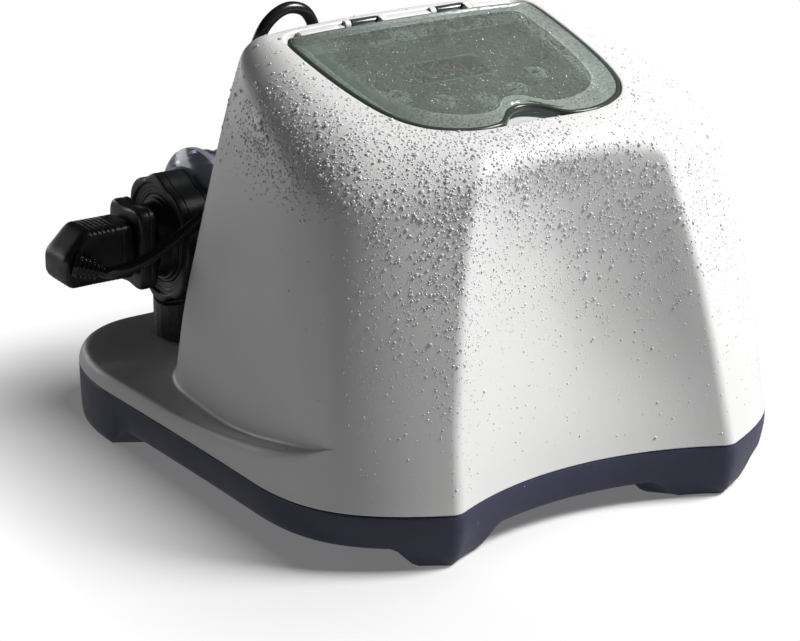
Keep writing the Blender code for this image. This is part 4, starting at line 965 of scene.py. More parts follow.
shell = mesh_object("housing_shell", [tube(housing)], ["white_plastic"], smooth=38, recalc=False)
thicken(shell)
holes = []
for x, z, radius, _ in GLANDS.values():
    hole = radius + 0.4
    holes.append(lathe([(0, -20), (hole, -20), (hole, 20), (0, 20)], (x, rear_wall(x, z), z),
                       "Y", 32))
cutter = mesh_object("gland_holes", holes, ["white_plastic"])
cut = shell.modifiers.new("holes", "BOOLEAN")
cut.operation, cut.solver, cut.object = "DIFFERENCE", "EXACT", cutter
applied(shell)
bpy.data.objects.remove(cutter)
smooth_shade(shell.data, 38)
declare(shell, "housing", ["upper_housing"])

# ---------------------------------------------------------------- tray
TRAY_FLOOR = 13.5
TRAY_SPACING = 4.5
TRAY_INSET = [(0, 8.5), (3, 6.6), (8, 4.6), (14, 2.8), (22, 1.0), (30, 0.0), (36, 0.0)]  # (z, inset)
# (amount towards the middle, share of the floor's height, share of the foot's, lift)
TRAY_BOTTOM = [(80, 1, 0, 0), (34, 1, 0, 0), (30, 0.95, 0.05, 0), (29, 0, 1, 1.0), (27, 0, 1, 0)]


def tray_rows():
    """Half rows of the tray: flat bottom with four feet, then up its side to the seam."""
    run = run_lengths(RIM)
    total, crease = run[-1], run[CREASE]
    rear = run[np.argmin(np.abs(RIM[:, 1] - 284) + (RIM[:, 0] < 150) * 999)]
    feet = [(crease - 30, crease + 24, 18), (rear, rear + 72, 13)]  # start, end, ramp
    marks = {0.0, total, crease}
    for start, end, ramp in feet:
        marks |= {start - ramp, start - ramp / 2, start, end, end + ramp / 2, end + ramp}
    marks = sorted(marks)
    where = [0.0]
    for start, end in zip(marks, marks[1:]):
        count = max(1, int(round((end - start) / TRAY_SPACING)))
        where += [start + (end - start) * part for part in steps(count)]
    where = np.array(where)
    plan = np.c_[np.interp(where, run, RIM[:, 0]), np.interp(where, run, RIM[:, 1])]

    def between(start, end, ramp):
        return ease(np.minimum((where - start) / ramp + 1, (end - where) / ramp + 1))

    foot = np.maximum(between(*feet[0]), between(*feet[1]))
    # the rear feet stand nearly flush with the seam
    upright = 1 - 0.85 * between(rear, rear + 72, 26)
    low = TRAY_FLOOR * (1 - foot)
    normals = inward_normals(plan)
    even_out(normals, 8)
    towards = np.array([0.0, 200.0]) - plan
    towards /= np.linalg.norm(towards, axis=1)[:, None]
    rows = [raised(shifted(plan, towards, amount), TRAY_FLOOR * floor + low * foot_share + lift)
            for amount, floor, foot_share, lift in TRAY_BOTTOM]

    def put(amount, z):
        rows.append(raised(shifted(plan, normals, amount), z))

    def inset(heights):
        return np.array([curve_at(TRAY_INSET, z) for z in heights]) * upright

    for more, lift in ((2.6, 0.0), (1.3, 0.15), (0.55, 0.6), (0.1, 1.3)):
        put(inset(low) + more, low + lift)
    for part in (0.12, 0.25, 0.4, 0.55, 0.7, 0.84, 0.93):
        z = low + (RIM_Z - 0.35 - low) * part
        put(inset(z), z)
    for amount, drop in ((0.0, 1.1), (0.35, 0.5), (1.2, 0.35)):
        put(amount, RIM_Z - drop)
    return np.array(rows)


tray = full_rows(tray_rows())
count = tray.shape[1]
bottom = (np.vstack([tray[0], tray[0].mean(0)]),
          [[(j + 1) % count, j, count] for j in range(count)])
base = mesh_object("base_tray_shell", [tube(tray), bottom], ["navy_plastic"], smooth=40,
                   recalc=False)
thicken(base)
weld = bmesh.new()
weld.from_mesh(base.data)
bmesh.ops.remove_doubles(weld, verts=weld.verts[:], dist=1e-6)
weld.to_mesh(base.data)
weld.free()
smooth_shade(base.data, 40)
declare(base, "housing", ["base_tray"])

# ---------------------------------------------------------------- lid
LID_SPACING = 1.8
UNDER = 0.25 - LID_T  # the lid's underside, from the housing's top
# (x, y) of the notch in the lid's front edge, from the centre
NOTCH = [(0, 89.5), (6, 88.6), (11, 85.6), (15.5, 80.8), (20, 76.2), (25.5, 73.2), (33, 72.4)]
# BORDER is the lid's band of painted light, paler where the lit ledge shows through
MIDDLE, EDGE, BORDER = 0, 1, 2  # the lid's material numbers
# (share of the plan, height, material) under the middle, and over it
LID_UNDER = [(share, UNDER + 0.6, MIDDLE) for share in (0.3, 0.6, 0.84)]
LID_OVER = [
    (0.91, 0.52, BORDER), (0.84, 0.56, BORDER), (0.825, 0.62, BORDER), (0.81, 0.92, BORDER),
    (0.80, 1.0, MIDDLE), (0.7, 1.05, MIDDLE), (0.5, 1.1, MIDDLE), (0.3, 1.15, MIDDLE),
    (0.15, 1.15, MIDDLE),
]
# (inset, height, material) round the edge
LID_EDGE = [
    (5.4, UNDER + 0.55, MIDDLE), (3.4, UNDER + 0.5, MIDDLE), (3.1, UNDER - 0.9, EDGE),
    (2.7, UNDER - 1.4, EDGE), (0.7, UNDER - 1.4, EDGE), (0.2, UNDER - 1.0, EDGE),
    (0.0, UNDER - 0.2, EDGE), (0.0, -0.9, EDGE), (0.12, -0.35, EDGE), (0.5, 0.08, EDGE),
    (1.0, 0.3, EDGE), (1.9, 0.42, EDGE), (2.5, 0.40, EDGE), (2.8, 0.14, BORDER),
    (3.3, 0.14, BORDER), (3.7, 0.42, BORDER), (4.6, 0.5, BORDER),
]


def lid_plan():
    tail = [point for point in inward(MOUTH, 0.6) if point[0] > 35.5 and point[1] < 216.0]
    x = tail[-1][0]
    line = np.vstack([smooth_line(NOTCH, 8), tail, [(x - 0.1, 216.2), (x - 0.7, 217.0)]])
    count = int(run_lengths(line)[-1] / LID_SPACING)
    half = resample(line, np.linspace(0, 1, count + 1))
    even_out(half[:-2], 3)
    corner = half[-1].copy()
    rear = np.c_[np.linspace(corner[0], 0, 24)[1:], np.full(23, corner[1])]
    line = np.vstack([half, rear])
    near = np.linalg.norm(line - corner, axis=1) < 7.5  # the rear corners are rounded
    first, last = np.argmax(near), len(near) - 1 - np.argmax(near[::-1])
    part = (np.arange(first, last + 1) - first)[:, None] / (last - first)
    line[first : last + 1] = quadratic(part, line[first].copy(), corner, line[last].copy())
    return line


def lid_shares(levels):
    """Rows of the lid's plan shrunk towards its middle."""
    centre = np.array([0, LID_MID_Y])
    plans = [(centre + (LID_PLAN - centre) * share, lift) for share, lift, _ in levels]
    return [raised(plan, top_z(*plan.T) + lift) for plan, lift in plans]


LID_PLAN = lid_plan()
edge_rows = [raised(inward(LID_PLAN, inset), top_z(*LID_PLAN.T) + lift)
             for inset, lift, _ in LID_EDGE]
lid = full_rows(np.array(lid_shares(LID_UNDER) + edge_rows + lid_shares(LID_OVER)))
count = lid.shape[1]
numbers = [level[2] for level in LID_UNDER + LID_EDGE + LID_OVER]
piece("lid_cover", [fan_ended(lid)], ["smoky_lid", "smoky_lid_rim", "smoky_lid_border_painted_light"], "lid",
      ["lid"], smooth=30,
      face_materials=[number for number in numbers[1:] for _ in range(count)]
      + [MIDDLE] * (2 * count))

KNUCKLE_X = 32  # the middle of each hinge knuckle
WEDGE = np.array([(-2.6, -0.2), (3.4, -0.2), (0.9, 3.0), (-0.3, 3.2)])
tabs = []
for sign in (-1, 1):
    x = sign * KNUCKLE_X
    tabs += [
        lathe(sleeve(1.72, 3.0, 10, 0.4), (x, HINGE_Y, HINGE_Z), "X", 32, closed=True),
        plate(rounded(20, 7.6, 0.8, 3), -1.5, 0.9,
              (x, 215.9, float(top_z(KNUCKLE_X, 215.9)) - 0.9), "panel"),
        plate(rounded(18, 12, 2.0, 4), -1.2, 1.2,
              (x, 208.0, float(top_z(KNUCKLE_X, 208)) - 3.6), "panel", 0.4),
        plate(WEDGE + (x + 9.2, 0), -1.6, 1.6,
              (0, 217.4, float(top_z(KNUCKLE_X, 217.4)) - 0.4), "-Y", 0.3),
    ]
piece("lid_hinge_tabs", tabs, "smoky_lid_rim", "lid", slot="smoky_lid", smooth=40)

# hinge strip: white bars between the lid's knuckles, with the seams of its snap-in ends
STRIP_Y = 221.0
STRIP_SECTION = [(217.9, -5.9), (223.6, -5.9), (223.6, -0.7), (223.45, -0.3), (223.0, 0.1),
                 (222.5, 0.2), (218.5, 0.2), (218.1, 0.1), (217.9, -0.2)]  # y, height over the top
STRIP_BARS = [(-79.0, -50.25), (-49.75, -42.7), (-21.3, 21.3), (42.7, 49.75), (50.25, 79.0)]
strip = []
for start, end in STRIP_BARS:
    count = int((end - start) / 2.5)
    rings = []
    for i, x in enumerate(np.linspace(start, end, count)):
        tight = 0.3 if i in (0, count - 1) else 0.0  # the end sections are drawn in
        top = float(top_z(x, STRIP_Y))
        rings.append([(x, y + (tight if y < 220 else -tight),
                       top + lift + (y - STRIP_Y) * LID_SLOPE - (tight if lift > -3 else 0))
                      for y, lift in STRIP_SECTION])
    strip.append(flat_ended(np.array(rings)))
for sign in (-1, 1):
    place = (sign * KNUCKLE_X, 220.75, float(top_z(KNUCKLE_X, STRIP_Y)) - 5.1)
    strip.append(rounded_box((23.0, 5.6, 1.5), place, 0.3, 2))
    for x in (19.4, 44.6):
        strip.append(lathe(sleeve(1.75, 2.9, 2, 0.3), (sign * x, HINGE_Y, HINGE_Z), "X", 28,
                           closed=True))
piece("hinge_strip_bars", strip, "white_plastic", "housing", ["hinge_strip"], smooth=40)

# ---------------------------------------------------------------- control panel
PANEL_Z = TOP_Z - LID_SLOPE * (TOP_Y - LID_MID_Y) - PANEL_DROP
DISPLAY = (0, 20)  # the display's centre on the panel


def on_panel(across, up, out=0):
    run, rise = cos(LID_TILT), sin(LID_TILT)
    return np.array((across, LID_MID_Y + up * run - out * rise,
                     PANEL_Z + up * rise + out * run))


# (radius, height) of a button, from the joint that presses it
BUTTON = [(0, 1.42), (4.9, 1.42), (6.5, 1.15), (7.25, 0.4), (7.4, -0.6), (7.4, -2.75),
          (9.0, -2.75), (9.0, -4.1), (2.4, -4.1), (2.4, -5.6), (0, -5.6)]
CHEVRON = np.array([(-2.6, 0.2), (0, 2.6), (2.6, 0.2), (2.6, 1.2), (0, 3.6), (-2.6, 1.2)])
DROP = np.array([(0, 3.4), (-1.1, 1.4), (-1.9, -0.1), (-2.0, -1.2), (-1.3, -2.4), (0, -2.9),
                 (1.3, -2.4), (2.0, -1.2), (1.9, -0.1), (1.1, 1.4)])
# each button's place on the panel and the outlines of its icon
BUTTONS = {
    "power": ((0.0, -24.0), [arc_band(2.5, 3.15, 125, 415), rounded(0.7, 3.0, 0.3, 3) + (0, 2.2)]),
    "lock": ((-27.0, -18.0), [rounded(4.6, 3.2, 0.6, 3) + (0, -1.1),
                              arc_band(1.25, 1.85, 0, 180) + (0, 0.5)]),
    "timer": ((27.0, -18.0), [arc_band(2.6, 3.2, 0, 357, 28),
                              rounded(0.55, 2.2, 0.25, 3) + (0, 0.9),
                              rounded(1.9, 0.55, 0.25, 3) + (0.75, 0)]),
    "boost": ((-51.0, -3.0), [CHEVRON, CHEVRON - (0, 3.2)]),
    "clean": ((51.0, -3.0), [DROP]),
}
printing = []
for label, (place, outlines) in BUTTONS.items():
    name = "button_" + label
    spot = joint_at(name + "_press")
    piece(name + "_cap", [lathe(soften(BUTTON, 0.5), spot, "panel", 56)], "button_plastic", name,
          [name], smooth=40)
    icon = [plate(anticlockwise(loop), 1.38, 1.52, spot, "panel", 0.05, 2) for loop in outlines]
    piece(name + "_icon", icon, "component_black", name, smooth=30)
    printing.append(plate(anticlockwise(arc_band(8.6, 9.1, 0, 357, 48)), 0.0, 0.12,
                          on_panel(*place), "panel", 0.04, 1))
for k in range(5):
    printing.append(plate(circle(0.9, 16), 0.0, 0.16, on_panel(-24 + 12 * k, 3.6), "panel",
                          0.05, 1))
border = np.vstack([rounded(56.5, 28.5, 4.4), rounded(55.3, 27.3, 3.8)[::-1]])
printing.append(plate(anticlockwise(border), 0.0, 0.1, on_panel(*DISPLAY), "panel", 0.0001, 1))
piece("panel_printing", printing, "panel_print", "housing", slot="panel_plastic", smooth=30)

# x, y and whether it lies flat, for each segment of a digit
SEGMENTS = {"a": (0, 5.2, True), "b": (2.6, 2.6, False), "c": (2.6, -2.6, False),
            "d": (0, -5.2, True), "e": (-2.6, -2.6, False), "f": (-2.6, 2.6, False),
            "g": (0, 0, True)}
BAR = np.array([(-2.1, 0), (-1.5, 0.6), (1.5, 0.6), (2.1, 0), (1.5, -0.6), (-1.5, -0.6)])
digits = []
for digit_x, segments in ((-9.0, "abcdef"), (0.0, "abcdefg"), (9.0, "abcdef")):
    for key in segments:
        x, y, flat = SEGMENTS[key]
        loop = (BAR if flat else BAR[:, ::-1]) * (1.0, 1.05) + (digit_x + x, y)
        digits.append(plate(anticlockwise(loop), -0.2, -0.12, on_panel(*DISPLAY), "panel",
                            0.02, 1))
piece("display_digits", digits, "display_digits", "housing", slot="display_grey", smooth=30)

# ---------------------------------------------------------------- electrolytic cell
# closed (radius, x) profile of the chamber's wall, with rings at five stations
chamber_wall = [(34, -114), (34, -99.4), (44, -98.8), (56, -93), (56, -88), (49.5, -84)]
for x in (-75, -24, 0, 24, 75):
    chamber_wall += [(49.5, x - 2.6), (51.5, x - 1.4), (51.5, x + 1.4), (49.5, x + 2.6)]
chamber_wall += [(49.5, 84), (56, 88), (56, 93), (44, 98.8), (34, 99.4), (34, 114), (29, 114),
                 (29, 95), (45.5, 88), (45.5, -88), (29, -95), (29, -114)]
# closed (radius, distance back from the axis) profile of a threaded port
port = [(17.0, 46), (25.5, 46), (25.5, 49.5), (22.2, 53.5), (21.0, 56.0)]
for k in range(5):
    port += [(radius, start + 2.4 * k)
             for radius, start in ((21.0, 59.5), (21.4, 60.1), (21.4, 60.7), (21.0, 61.3))]
port += [(21.0, 73), (17.0, 73)]
chamber = [lathe(soften(chamber_wall, 1.2, 2, closed=True), CELL, "X", 96, closed=True)]
for name in ("inlet", "outlet"):
    x = joint_at(name + "_hose_nut_spin")[0]
    chamber.append(lathe(soften(port, 0.4, 2, closed=True), (x, CELL_Y, CELL_Z), "Y", 56,
                         closed=True))
piece("cell_chamber_body", chamber, "cell_plastic", "housing", ["cell_chamber"], smooth=32)

screws = []
for x in (-90.5, 90.5):
    for k in range(12):
        angle = 2 * pi * (k + 0.5) / 12
        place = (x, CELL_Y + 52.3 * cos(angle), CELL_Z + 52.3 * sin(angle))
        screws.append(lathe(soften([(0, -3.1), (2.3, -3.1), (2.3, 3.1), (0, 3.1)], 0.4), place,
                            "X", 6))
piece("chamber_screws", screws, "steel", "housing", smooth=30)

straps = []
for x in (-62.0, 62.0):
    straps.append(lathe(sleeve(49.7, 51.9, 5, 0.5), (x, CELL_Y, CELL_Z), "X", 96, closed=True))
    for y in (-40.5, 40.5):
        straps.append(rounded_box((10, 9, 16), (x, CELL_Y + y * 0.98, CELL_Z - 34), 1.4))
piece("chamber_straps", straps, "black_plastic", "housing")


def lobes(count, radius, depth):
    return lambda angle: radius - depth * (0.5 - 0.5 * np.cos(count * angle)) ** 1.5


def less(outline, amount):
    return lambda angle: outline(angle) - amount


def oblong(width, height, power):
    """Outline of a superellipse; a higher power makes it squarer."""
    return lambda angle: ((np.abs(np.cos(angle)) / (width / 2)) ** power
                          + (np.abs(np.sin(angle)) / (height / 2)) ** power) ** (-1.0 / power)


def grip_nut(name, radius, depth, half, axis, bore, lip, out, sides):
    """A grip nut with chamfered lobes, an annular land on its outer face, and a bore that narrows
    to a lip there. out is the sign of its outer end."""
    outline = lobes(8, radius, depth)
    # (cut, height) over the lobes, from the outer end and to the inner one
    rows = [(less(outline, cut), -half + up) for cut, up in (
        (2.6, 0), (1.2, 0.35), (0.35, 1.2), (0, 2.6), (0, 5.0), (0.5, 5.6), (0.5, 6.2), (0, 6.8))]
    rows += [(less(outline, cut), half - down) for cut, down in (
        (0, 5.4), (0.7, 4.7), (0.7, 4.0), (0.1, 3.3), (0.4, 1.2), (2.4, 0))]
    rows += [(bore + 1.6, half), (bore + 0.2, half - 0.6)]
    for height in np.arange(half - 1.8, -half + 5.0, -2.4):  # thread
        rows += [(bore + 0.6, height), (bore, height - 1.2)]
    rim = radius - depth - 2.6
    dish = 3.2
    step = (rim - lip - 1.6) / 3
    rows += [(bore, -half + dish + 1.9), (lip, -half + dish + 1.9), (lip, -half + dish + 0.5),
             (lip + 0.5, -half + dish)]
    for k in range(2):
        land = lip + step * (k + 1)
        rows += [(land - 0.5, -half + dish - 0.4 * k), (land, -half + dish - 0.5 - 0.4 * k)]
    rows += [(rim - 1.3, -half + dish - 0.9), (rim - 0.9, -half + 1.2), (rim - 0.3, -half + 0.35),
             (rim + 0.6, -half)]
    rows = [(reach, height * -out) for reach, height in rows]
    piece(name + "_body", [lathe(rows, joint_at(name + "_spin"), axis, sides, closed=True)],
          "black_plastic", name, [name], smooth=28)


UNION = dict(radius=44.4, depth=3.2, half=12.6, axis="X", bore=34.7, lip=30.4, sides=128)
HOSE = dict(radius=29.4, depth=2.3, half=12.0, axis="Y", bore=21.7, lip=19.4, sides=96)
grip_nut("cell_union_nut", out=-1, **UNION)
grip_nut("sensor_union_nut", out=1, **UNION)
grip_nut("inlet_hose_nut", out=1, **HOSE)
grip_nut("outlet_hose_nut", out=1, **HOSE)

for name, radius, thick, axis in (
        ("cell_o_ring", 31.5, 1.15, "X"), ("sensor_o_ring", 31.5, 1.15, "X"),
        ("inlet_o_ring", 18.9, 1.0, "Y"), ("outlet_o_ring", 18.9, 1.0, "Y")):
    section = circle(thick, 12) + (radius, 0)
    piece(name + "_seal", [lathe(section, middle(name), axis, closed=True)], "seal_rubber",
          "housing", [name], smooth=60)

# cartridge cap: rings stepping down inside the nut, a grip block with flared corners, and the
# plug's socket
CAP = left_end("cell_cap")
grip_block = oblong(46, 56, 6.0)
socket = oblong(27, 31, 9.0)


def grip(angle):
    return grip_block(angle) - 1.7 * (0.5 + 0.5 * np.cos(4 * angle)) ** 2


cap_rows = [
    (0, -99), (28.0, -99), (28.4, -99.6), (28.4, -117), (33.6, -117), (33.9, -117.4),
    (33.9, -120.6), (33.6, -120.9), (29.8, -120.9), (29.8, -122.0), (29.2, -122.5),
    (28.0, -122.6), (27.6, -123.0), (27.4, -124.2), (27.0, -124.6), (25.9, -124.7),
    (25.5, -125.2), (24.6, -127.4), (24.4, CAP + 15.0), (24.0, CAP + 14.0),
]
cap_rows += [(less(grip, cut), CAP + along) for cut, along in (
    (3.4, 13.2), (1.2, 12.0), (0, 10.6), (0, 8.2), (0.6, 7.7), (0.6, 7.0), (0, 6.5), (0, 2.6),
    (0.5, 1.2), (1.6, 0.3), (3.0, 0))]
cap_rows += [(less(socket, cut), CAP + along) for cut, along in (
    (-0.9, 0), (-0.2, 0.5), (0, 1.4), (0, 12.8))]
cap_rows.append((0, CAP + 12.8))
piece("cell_cap_body", [lathe(cap_rows, CELL, "X", 128)], "black_plastic", "housing",
      ["cell_cap"], smooth=30)

# plug: its end slopes down to a short face, grip ridges cross its top and bottom, a nose enters
# the socket. Sections are (distance from the outer end, bottom, top, half width).
PLUG = left_end("cell_plug")
sections = [
    (0.0, -12.2, -0.6, 14.4), (0.3, -13.6, 0.8, 15.4), (1.1, -15.2, 2.9, 16.1),
    (2.6, -16.7, 5.2, 16.5), (4.6, -18.3, 7.4, 16.5), (6.2, -18.9, 9.1, 16.5),
    (8.6, -19.0, 11.6, 16.5), (11.6, -19.0, 14.7, 16.5), (13.6, -19.0, 16.6, 16.5),
    (14.9, -19.0, 17.6, 16.5), (16.4, -19.0, 18.5, 16.5), (18.2, -19.0, 19.0, 16.5),
]
for k in range(6):
    start = 19.6 + 3.3 * k
    sections += [(start + along, -half, half, 16.5)
                 for along, half in ((0, 19.0), (0.5, 18.2), (1.1, 18.2), (1.6, 19.0))]
sections += [(along, -half, half, wide) for along, half, wide in (
    (41.0, 19.0, 16.5), (41.5, 18.6, 16.1), (42.3, 18.6, 16.1), (42.8, 19.0, 16.5),
    (47.6, 19.0, 16.5), (49.4, 18.5, 16.0), (50.3, 17.4, 14.9), (50.6, 16.4, 13.9),
    (50.6, 15.2, 13.2), (62.4, 15.0, 13.0), (63.4, 14.5, 12.5), (64.0, 13.4, 11.4))]
PLUG_SIDES = 96
turn = np.linspace(0, 2 * pi, PLUG_SIDES + 1)[:-1]
rings = []
for along, low, high, wide in sections:
    reach = oblong(2 * wide, high - low, 6.5)(turn)
    rings.append(np.c_[np.full(PLUG_SIDES, PLUG + along), CELL_Y + reach * np.cos(turn),
                       CELL_Z + (low + high) / 2 + reach * np.sin(turn)])
piece("cell_plug_body", [fan_ended(np.array(rings))], "black_plastic", "cell_plug",
      ["cell_plug"], smooth=30)

# boot in the plug's front: short ribs on a cone, aimed along the cord
boot_at = Vector((PLUG + 8.4, CELL_Y - 18.5, CELL_Z - 1.0))
boot_dir = Vector((0.80, -0.52, -0.28)).normalized()
boot_side = boot_dir.cross(Vector((0, 0, 1))).normalized()
AXES["boot"] = (tuple(boot_side), tuple(boot_dir.cross(boot_side)), tuple(boot_dir))
ribs = [(0, -3.0), (8.6, -3.0), (8.9, 0.2), (8.6, 0.8)]
for k in range(4):
    radius, start = 8.3 - 0.62 * k, 2.9 * k
    ribs += [(radius - 1.7, start + 1.1), (radius - 1.7, start + 2.2), (radius, start + 2.5),
             (radius - 0.1, start + 3.7)]
ribs += [(5.2, 12.9), (4.0, 13.1), (0, 13.1)]
piece("plug_boot_ribs", [lathe(soften(ribs, 0.3, 2), tuple(boot_at), "boot", 48)],
      "black_rubber", "cell_plug", ["plug_boot"])


# ---------------------------------------------------------------- cords and glands
def along_boot(distance):
    return tuple(boot_at + boot_dir * distance)


def into_wall(x, z):
    """The last two points of a cord that enters the rear wall here."""
    y = rear_wall(x, z)
    return [(x, y + 8.5, z), (x, y - 6.0, z)]


def cord_sheath(name, cord, points, body, sides):
    path = smooth_line(points, 9)
    return piece(name + "_sheath", [sweep(path, CORD_R[cord], sides)], "black_rubber", body,
                 [name], smooth=50)


cell_cord = cord_sheath("cell_cord", "cell", [
    along_boot(12.0), along_boot(15.5), along_boot(19.0), (-172.5, 294.0, 116.5),
    (-161.5, 286.5, 121.5), (-144.5, 283.0, 131.0), (-131.5, 281.0, 139.0),
    (-118.0, 280.5, 148.0), (-104.5, 279.5, 160.0), (-97.0, 277.0, 184.0),
    (-95.5, 269.0, 215.0), (-95.0, 255.5, 250.0), (-92.0, 247.5, 272.0), (-84.0, 245.0, 283.5),
    (-72.0, 245.0, 288.0), (-59.0, 246.0, 283.0), (-50.0, 250.0, 266.0), (-46.5, 259.0, 240.0),
    (-45.0, 270.0, 212.0), (-45.0, 280.0, 190.0), (-45.0, 278.0, 177.5),
    *into_wall(-45.0, 176.0)], None, 24)
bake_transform(cell_cord)

for name, (x, z, radius, cord_radius) in GLANDS.items():
    bore, flange = cord_radius + 0.1, radius + 3.0
    line = [(bore, -7.5), (radius, -7.5), (radius, 3.4), (flange, 3.4), (flange, 6.2),
            (radius - 0.4, 7.0), (radius - 0.8, 7.6), (cord_radius + 1.4, 9.0), (bore, 9.0)]
    squarish = oblong(2 * flange, 2 * flange, 2.6)
    rows = [(squarish if reach > radius + 2.7 else reach, height)
            for reach, height in soften(line, 0.4, 2, closed=True)]
    piece(name + "_body", [lathe(rows, (x, rear_wall(x, z), z), "Y", 48, closed=True)],
          "black_rubber", "housing", [name])

# ---------------------------------------------------------------- flow sensor
SENSOR = [
    (0, 99.0), (28.4, 99.0), (28.4, 117.0), (33.9, 117.0), (33.9, 120.9), (29.8, 120.9),
    (29.8, 128.8), (29.2, 129.6), (17.5, 129.6), (16.2, 131.0), (15.8, 133.0), (15.8, 134.4),
    (15.0, 135.0), (15.0, 136.4), (15.8, 137.0), (15.8, 138.4), (15.0, 139.0), (15.0, 140.4),
    (15.8, 141.0), (15.5, 146.0), (12.0, 149.0), (5.2, 149.4), (4.4, 150.2), (0, 150.2),
]  # radius, x
flap_x, flap_y, flap_z = flap_at = joint_at("flow_flap_swing")
sensor = [
    lathe(soften(SENSOR, 0.6, 2), CELL, "X", 96),
    rounded_box((101.0 - flap_x + 5.0, 12.0, 5.0),
                ((101.0 + flap_x - 5.0) / 2 + 5.2, CELL_Y, CELL_Z + 20.5), 0.8, 2),
]
for sign in (-1, 1):
    sensor.append(rounded_box((7.0, 2.6, 12.0),
                              (flap_x - 0.2, CELL_Y + sign * 5.8, CELL_Z + 24.0), 0.6, 2))
for k in range(16):
    angle = 2 * pi * k / 16
    place = (125.0, CELL_Y + 29.8 * cos(angle), CELL_Z + 29.8 * sin(angle))
    sensor.append(rounded_box((6.0, 1.6, 1.6), place, 0.4, 1))
piece("flow_sensor_body", sensor, "black_plastic", "housing", ["flow_sensor"])
flap = [lathe(sleeve(1.3, 2.4, 3.8, 0.3), flap_at, "Y", 32, closed=True),
        rounded_box((1.6, 7.6, 44.0), (flap_x - 1.5, flap_y, flap_z - 24.0), 0.6, 2)]
piece("flow_flap_paddle", flap, "black_plastic", "flow_flap", ["flow_flap"])

cord_sheath("sensor_cord", "sensor", [
    (148.0, CELL_Y, CELL_Z), (155.0, 332.0, 121.0), (158.5, 325.0, 139.0), (150.0, 312.0, 164.0),
    (125.0, 299.0, 183.0), (90.0, 290.0, 190.0), (55.0, 284.0, 193.0), (30.0, 280.0, 195.5),
    (20.5, 272.5, 196.0), *into_wall(20.0, 196.0)], "housing", 20)

# ---------------------------------------------------------------- mains lead
cord_sheath("power_cord", "mains", [
    *into_wall(62.0, 170.0)[::-1], (64.0, 277.5, 170.0), (76.0, 283.0, 170.5),
    (100.0, 286.0, 167.0), (122.0, 287.5, 154.0), (137.0, 291.0, 128.0), (142.5, 295.0, 96.0),
    (143.0, 301.0, 73.0), (143.0, 311.0, 62.6), (143.0, 321.0, 62.0), (143.0, 326.0, 62.0),
    (143.0, 336.0, 62.0)], "housing", 24)

plug_shape = oblong(30, 24, 4.6)
PLUG_HALF = 17.0
plug_steps = [(5.0, 0), (3.0, 0.8), (1.2, 3.0)]  # (cut, distance from the front end)
for k in range(4):
    start = 5.0 + 3.1 * k
    plug_steps += [(0.2, start), (1.0, start + 0.5), (1.0, start + 1.2), (0.2, start + 1.7)]
plug_steps += [(cut, 2 * PLUG_HALF - left) for cut, left in (
    (0, 12.0), (0, 2.2), (0.6, 0.8), (2.0, 0))]
rows = [(0, -PLUG_HALF)] + [(less(plug_shape, cut), along - PLUG_HALF)
                            for cut, along in plug_steps] + [(0, PLUG_HALF)]
piece("mains_plug_body", [lathe(rows, middle("mains_plug"), "Y wide", 96)], "black_plastic",
      "housing", ["mains_plug"], smooth=32)
line = [(4.3, -5.0), (6.6, -5.0)]
for k in range(2):
    line += [(7.2 + 0.4 * k, -4.4 + 4.4 * k), (7.4 + 0.4 * k, -1.6 + 4.4 * k),
             (6.0, -1.2 + 4.4 * k), (6.0, -0.4 + 4.4 * k)]
line += [(8.6, 4.4), (8.6, 5.4), (4.3, 5.4)]
piece("mains_boot_ribs", [lathe(soften(line, 0.35, 2, closed=True), middle("mains_plug_boot"),
                                "Y", 40, closed=True)],
      "black_rubber", "housing", ["mains_plug_boot"])

# ---------------------------------------------------------------- CAD nodes that carry over
DRESS = {
    "panel_plastic": ["control_panel"],
    "window_plastic": ["display_window"],
    "display_grey": ["digit_display"],
    "board_green": ["display_board", "main_board"],
    "iron": ["transformer_core"],
    "copper": ["transformer_winding"],
    "aluminium": ["heat_sink"],
    "component_blue": ["capacitor", "relay"],
    "terminal_green": ["terminal_block"],
    "steel": ["lid_hinge_pin_left", "lid_hinge_pin_right", "flow_flap_pin"],
    "black_plastic": ["cell_cradle_left", "cell_cradle_right"],
    "brass": ["contact_pin_1", "contact_pin_2", "mains_blade_1", "mains_blade_2"],
    "titanium": [name for name in NODES if name.startswith("electrode_plate")],
    "component_black": [name for name in NODES if name.startswith("switch_")],
}
for material, names in DRESS.items():
    for name in names:
        node = NODES[name]
        if not node.material_slots:
            node.data.materials.append(MATERIALS[material])
        for material_slot in node.material_slots:
            material_slot.material = MATERIALS[material]


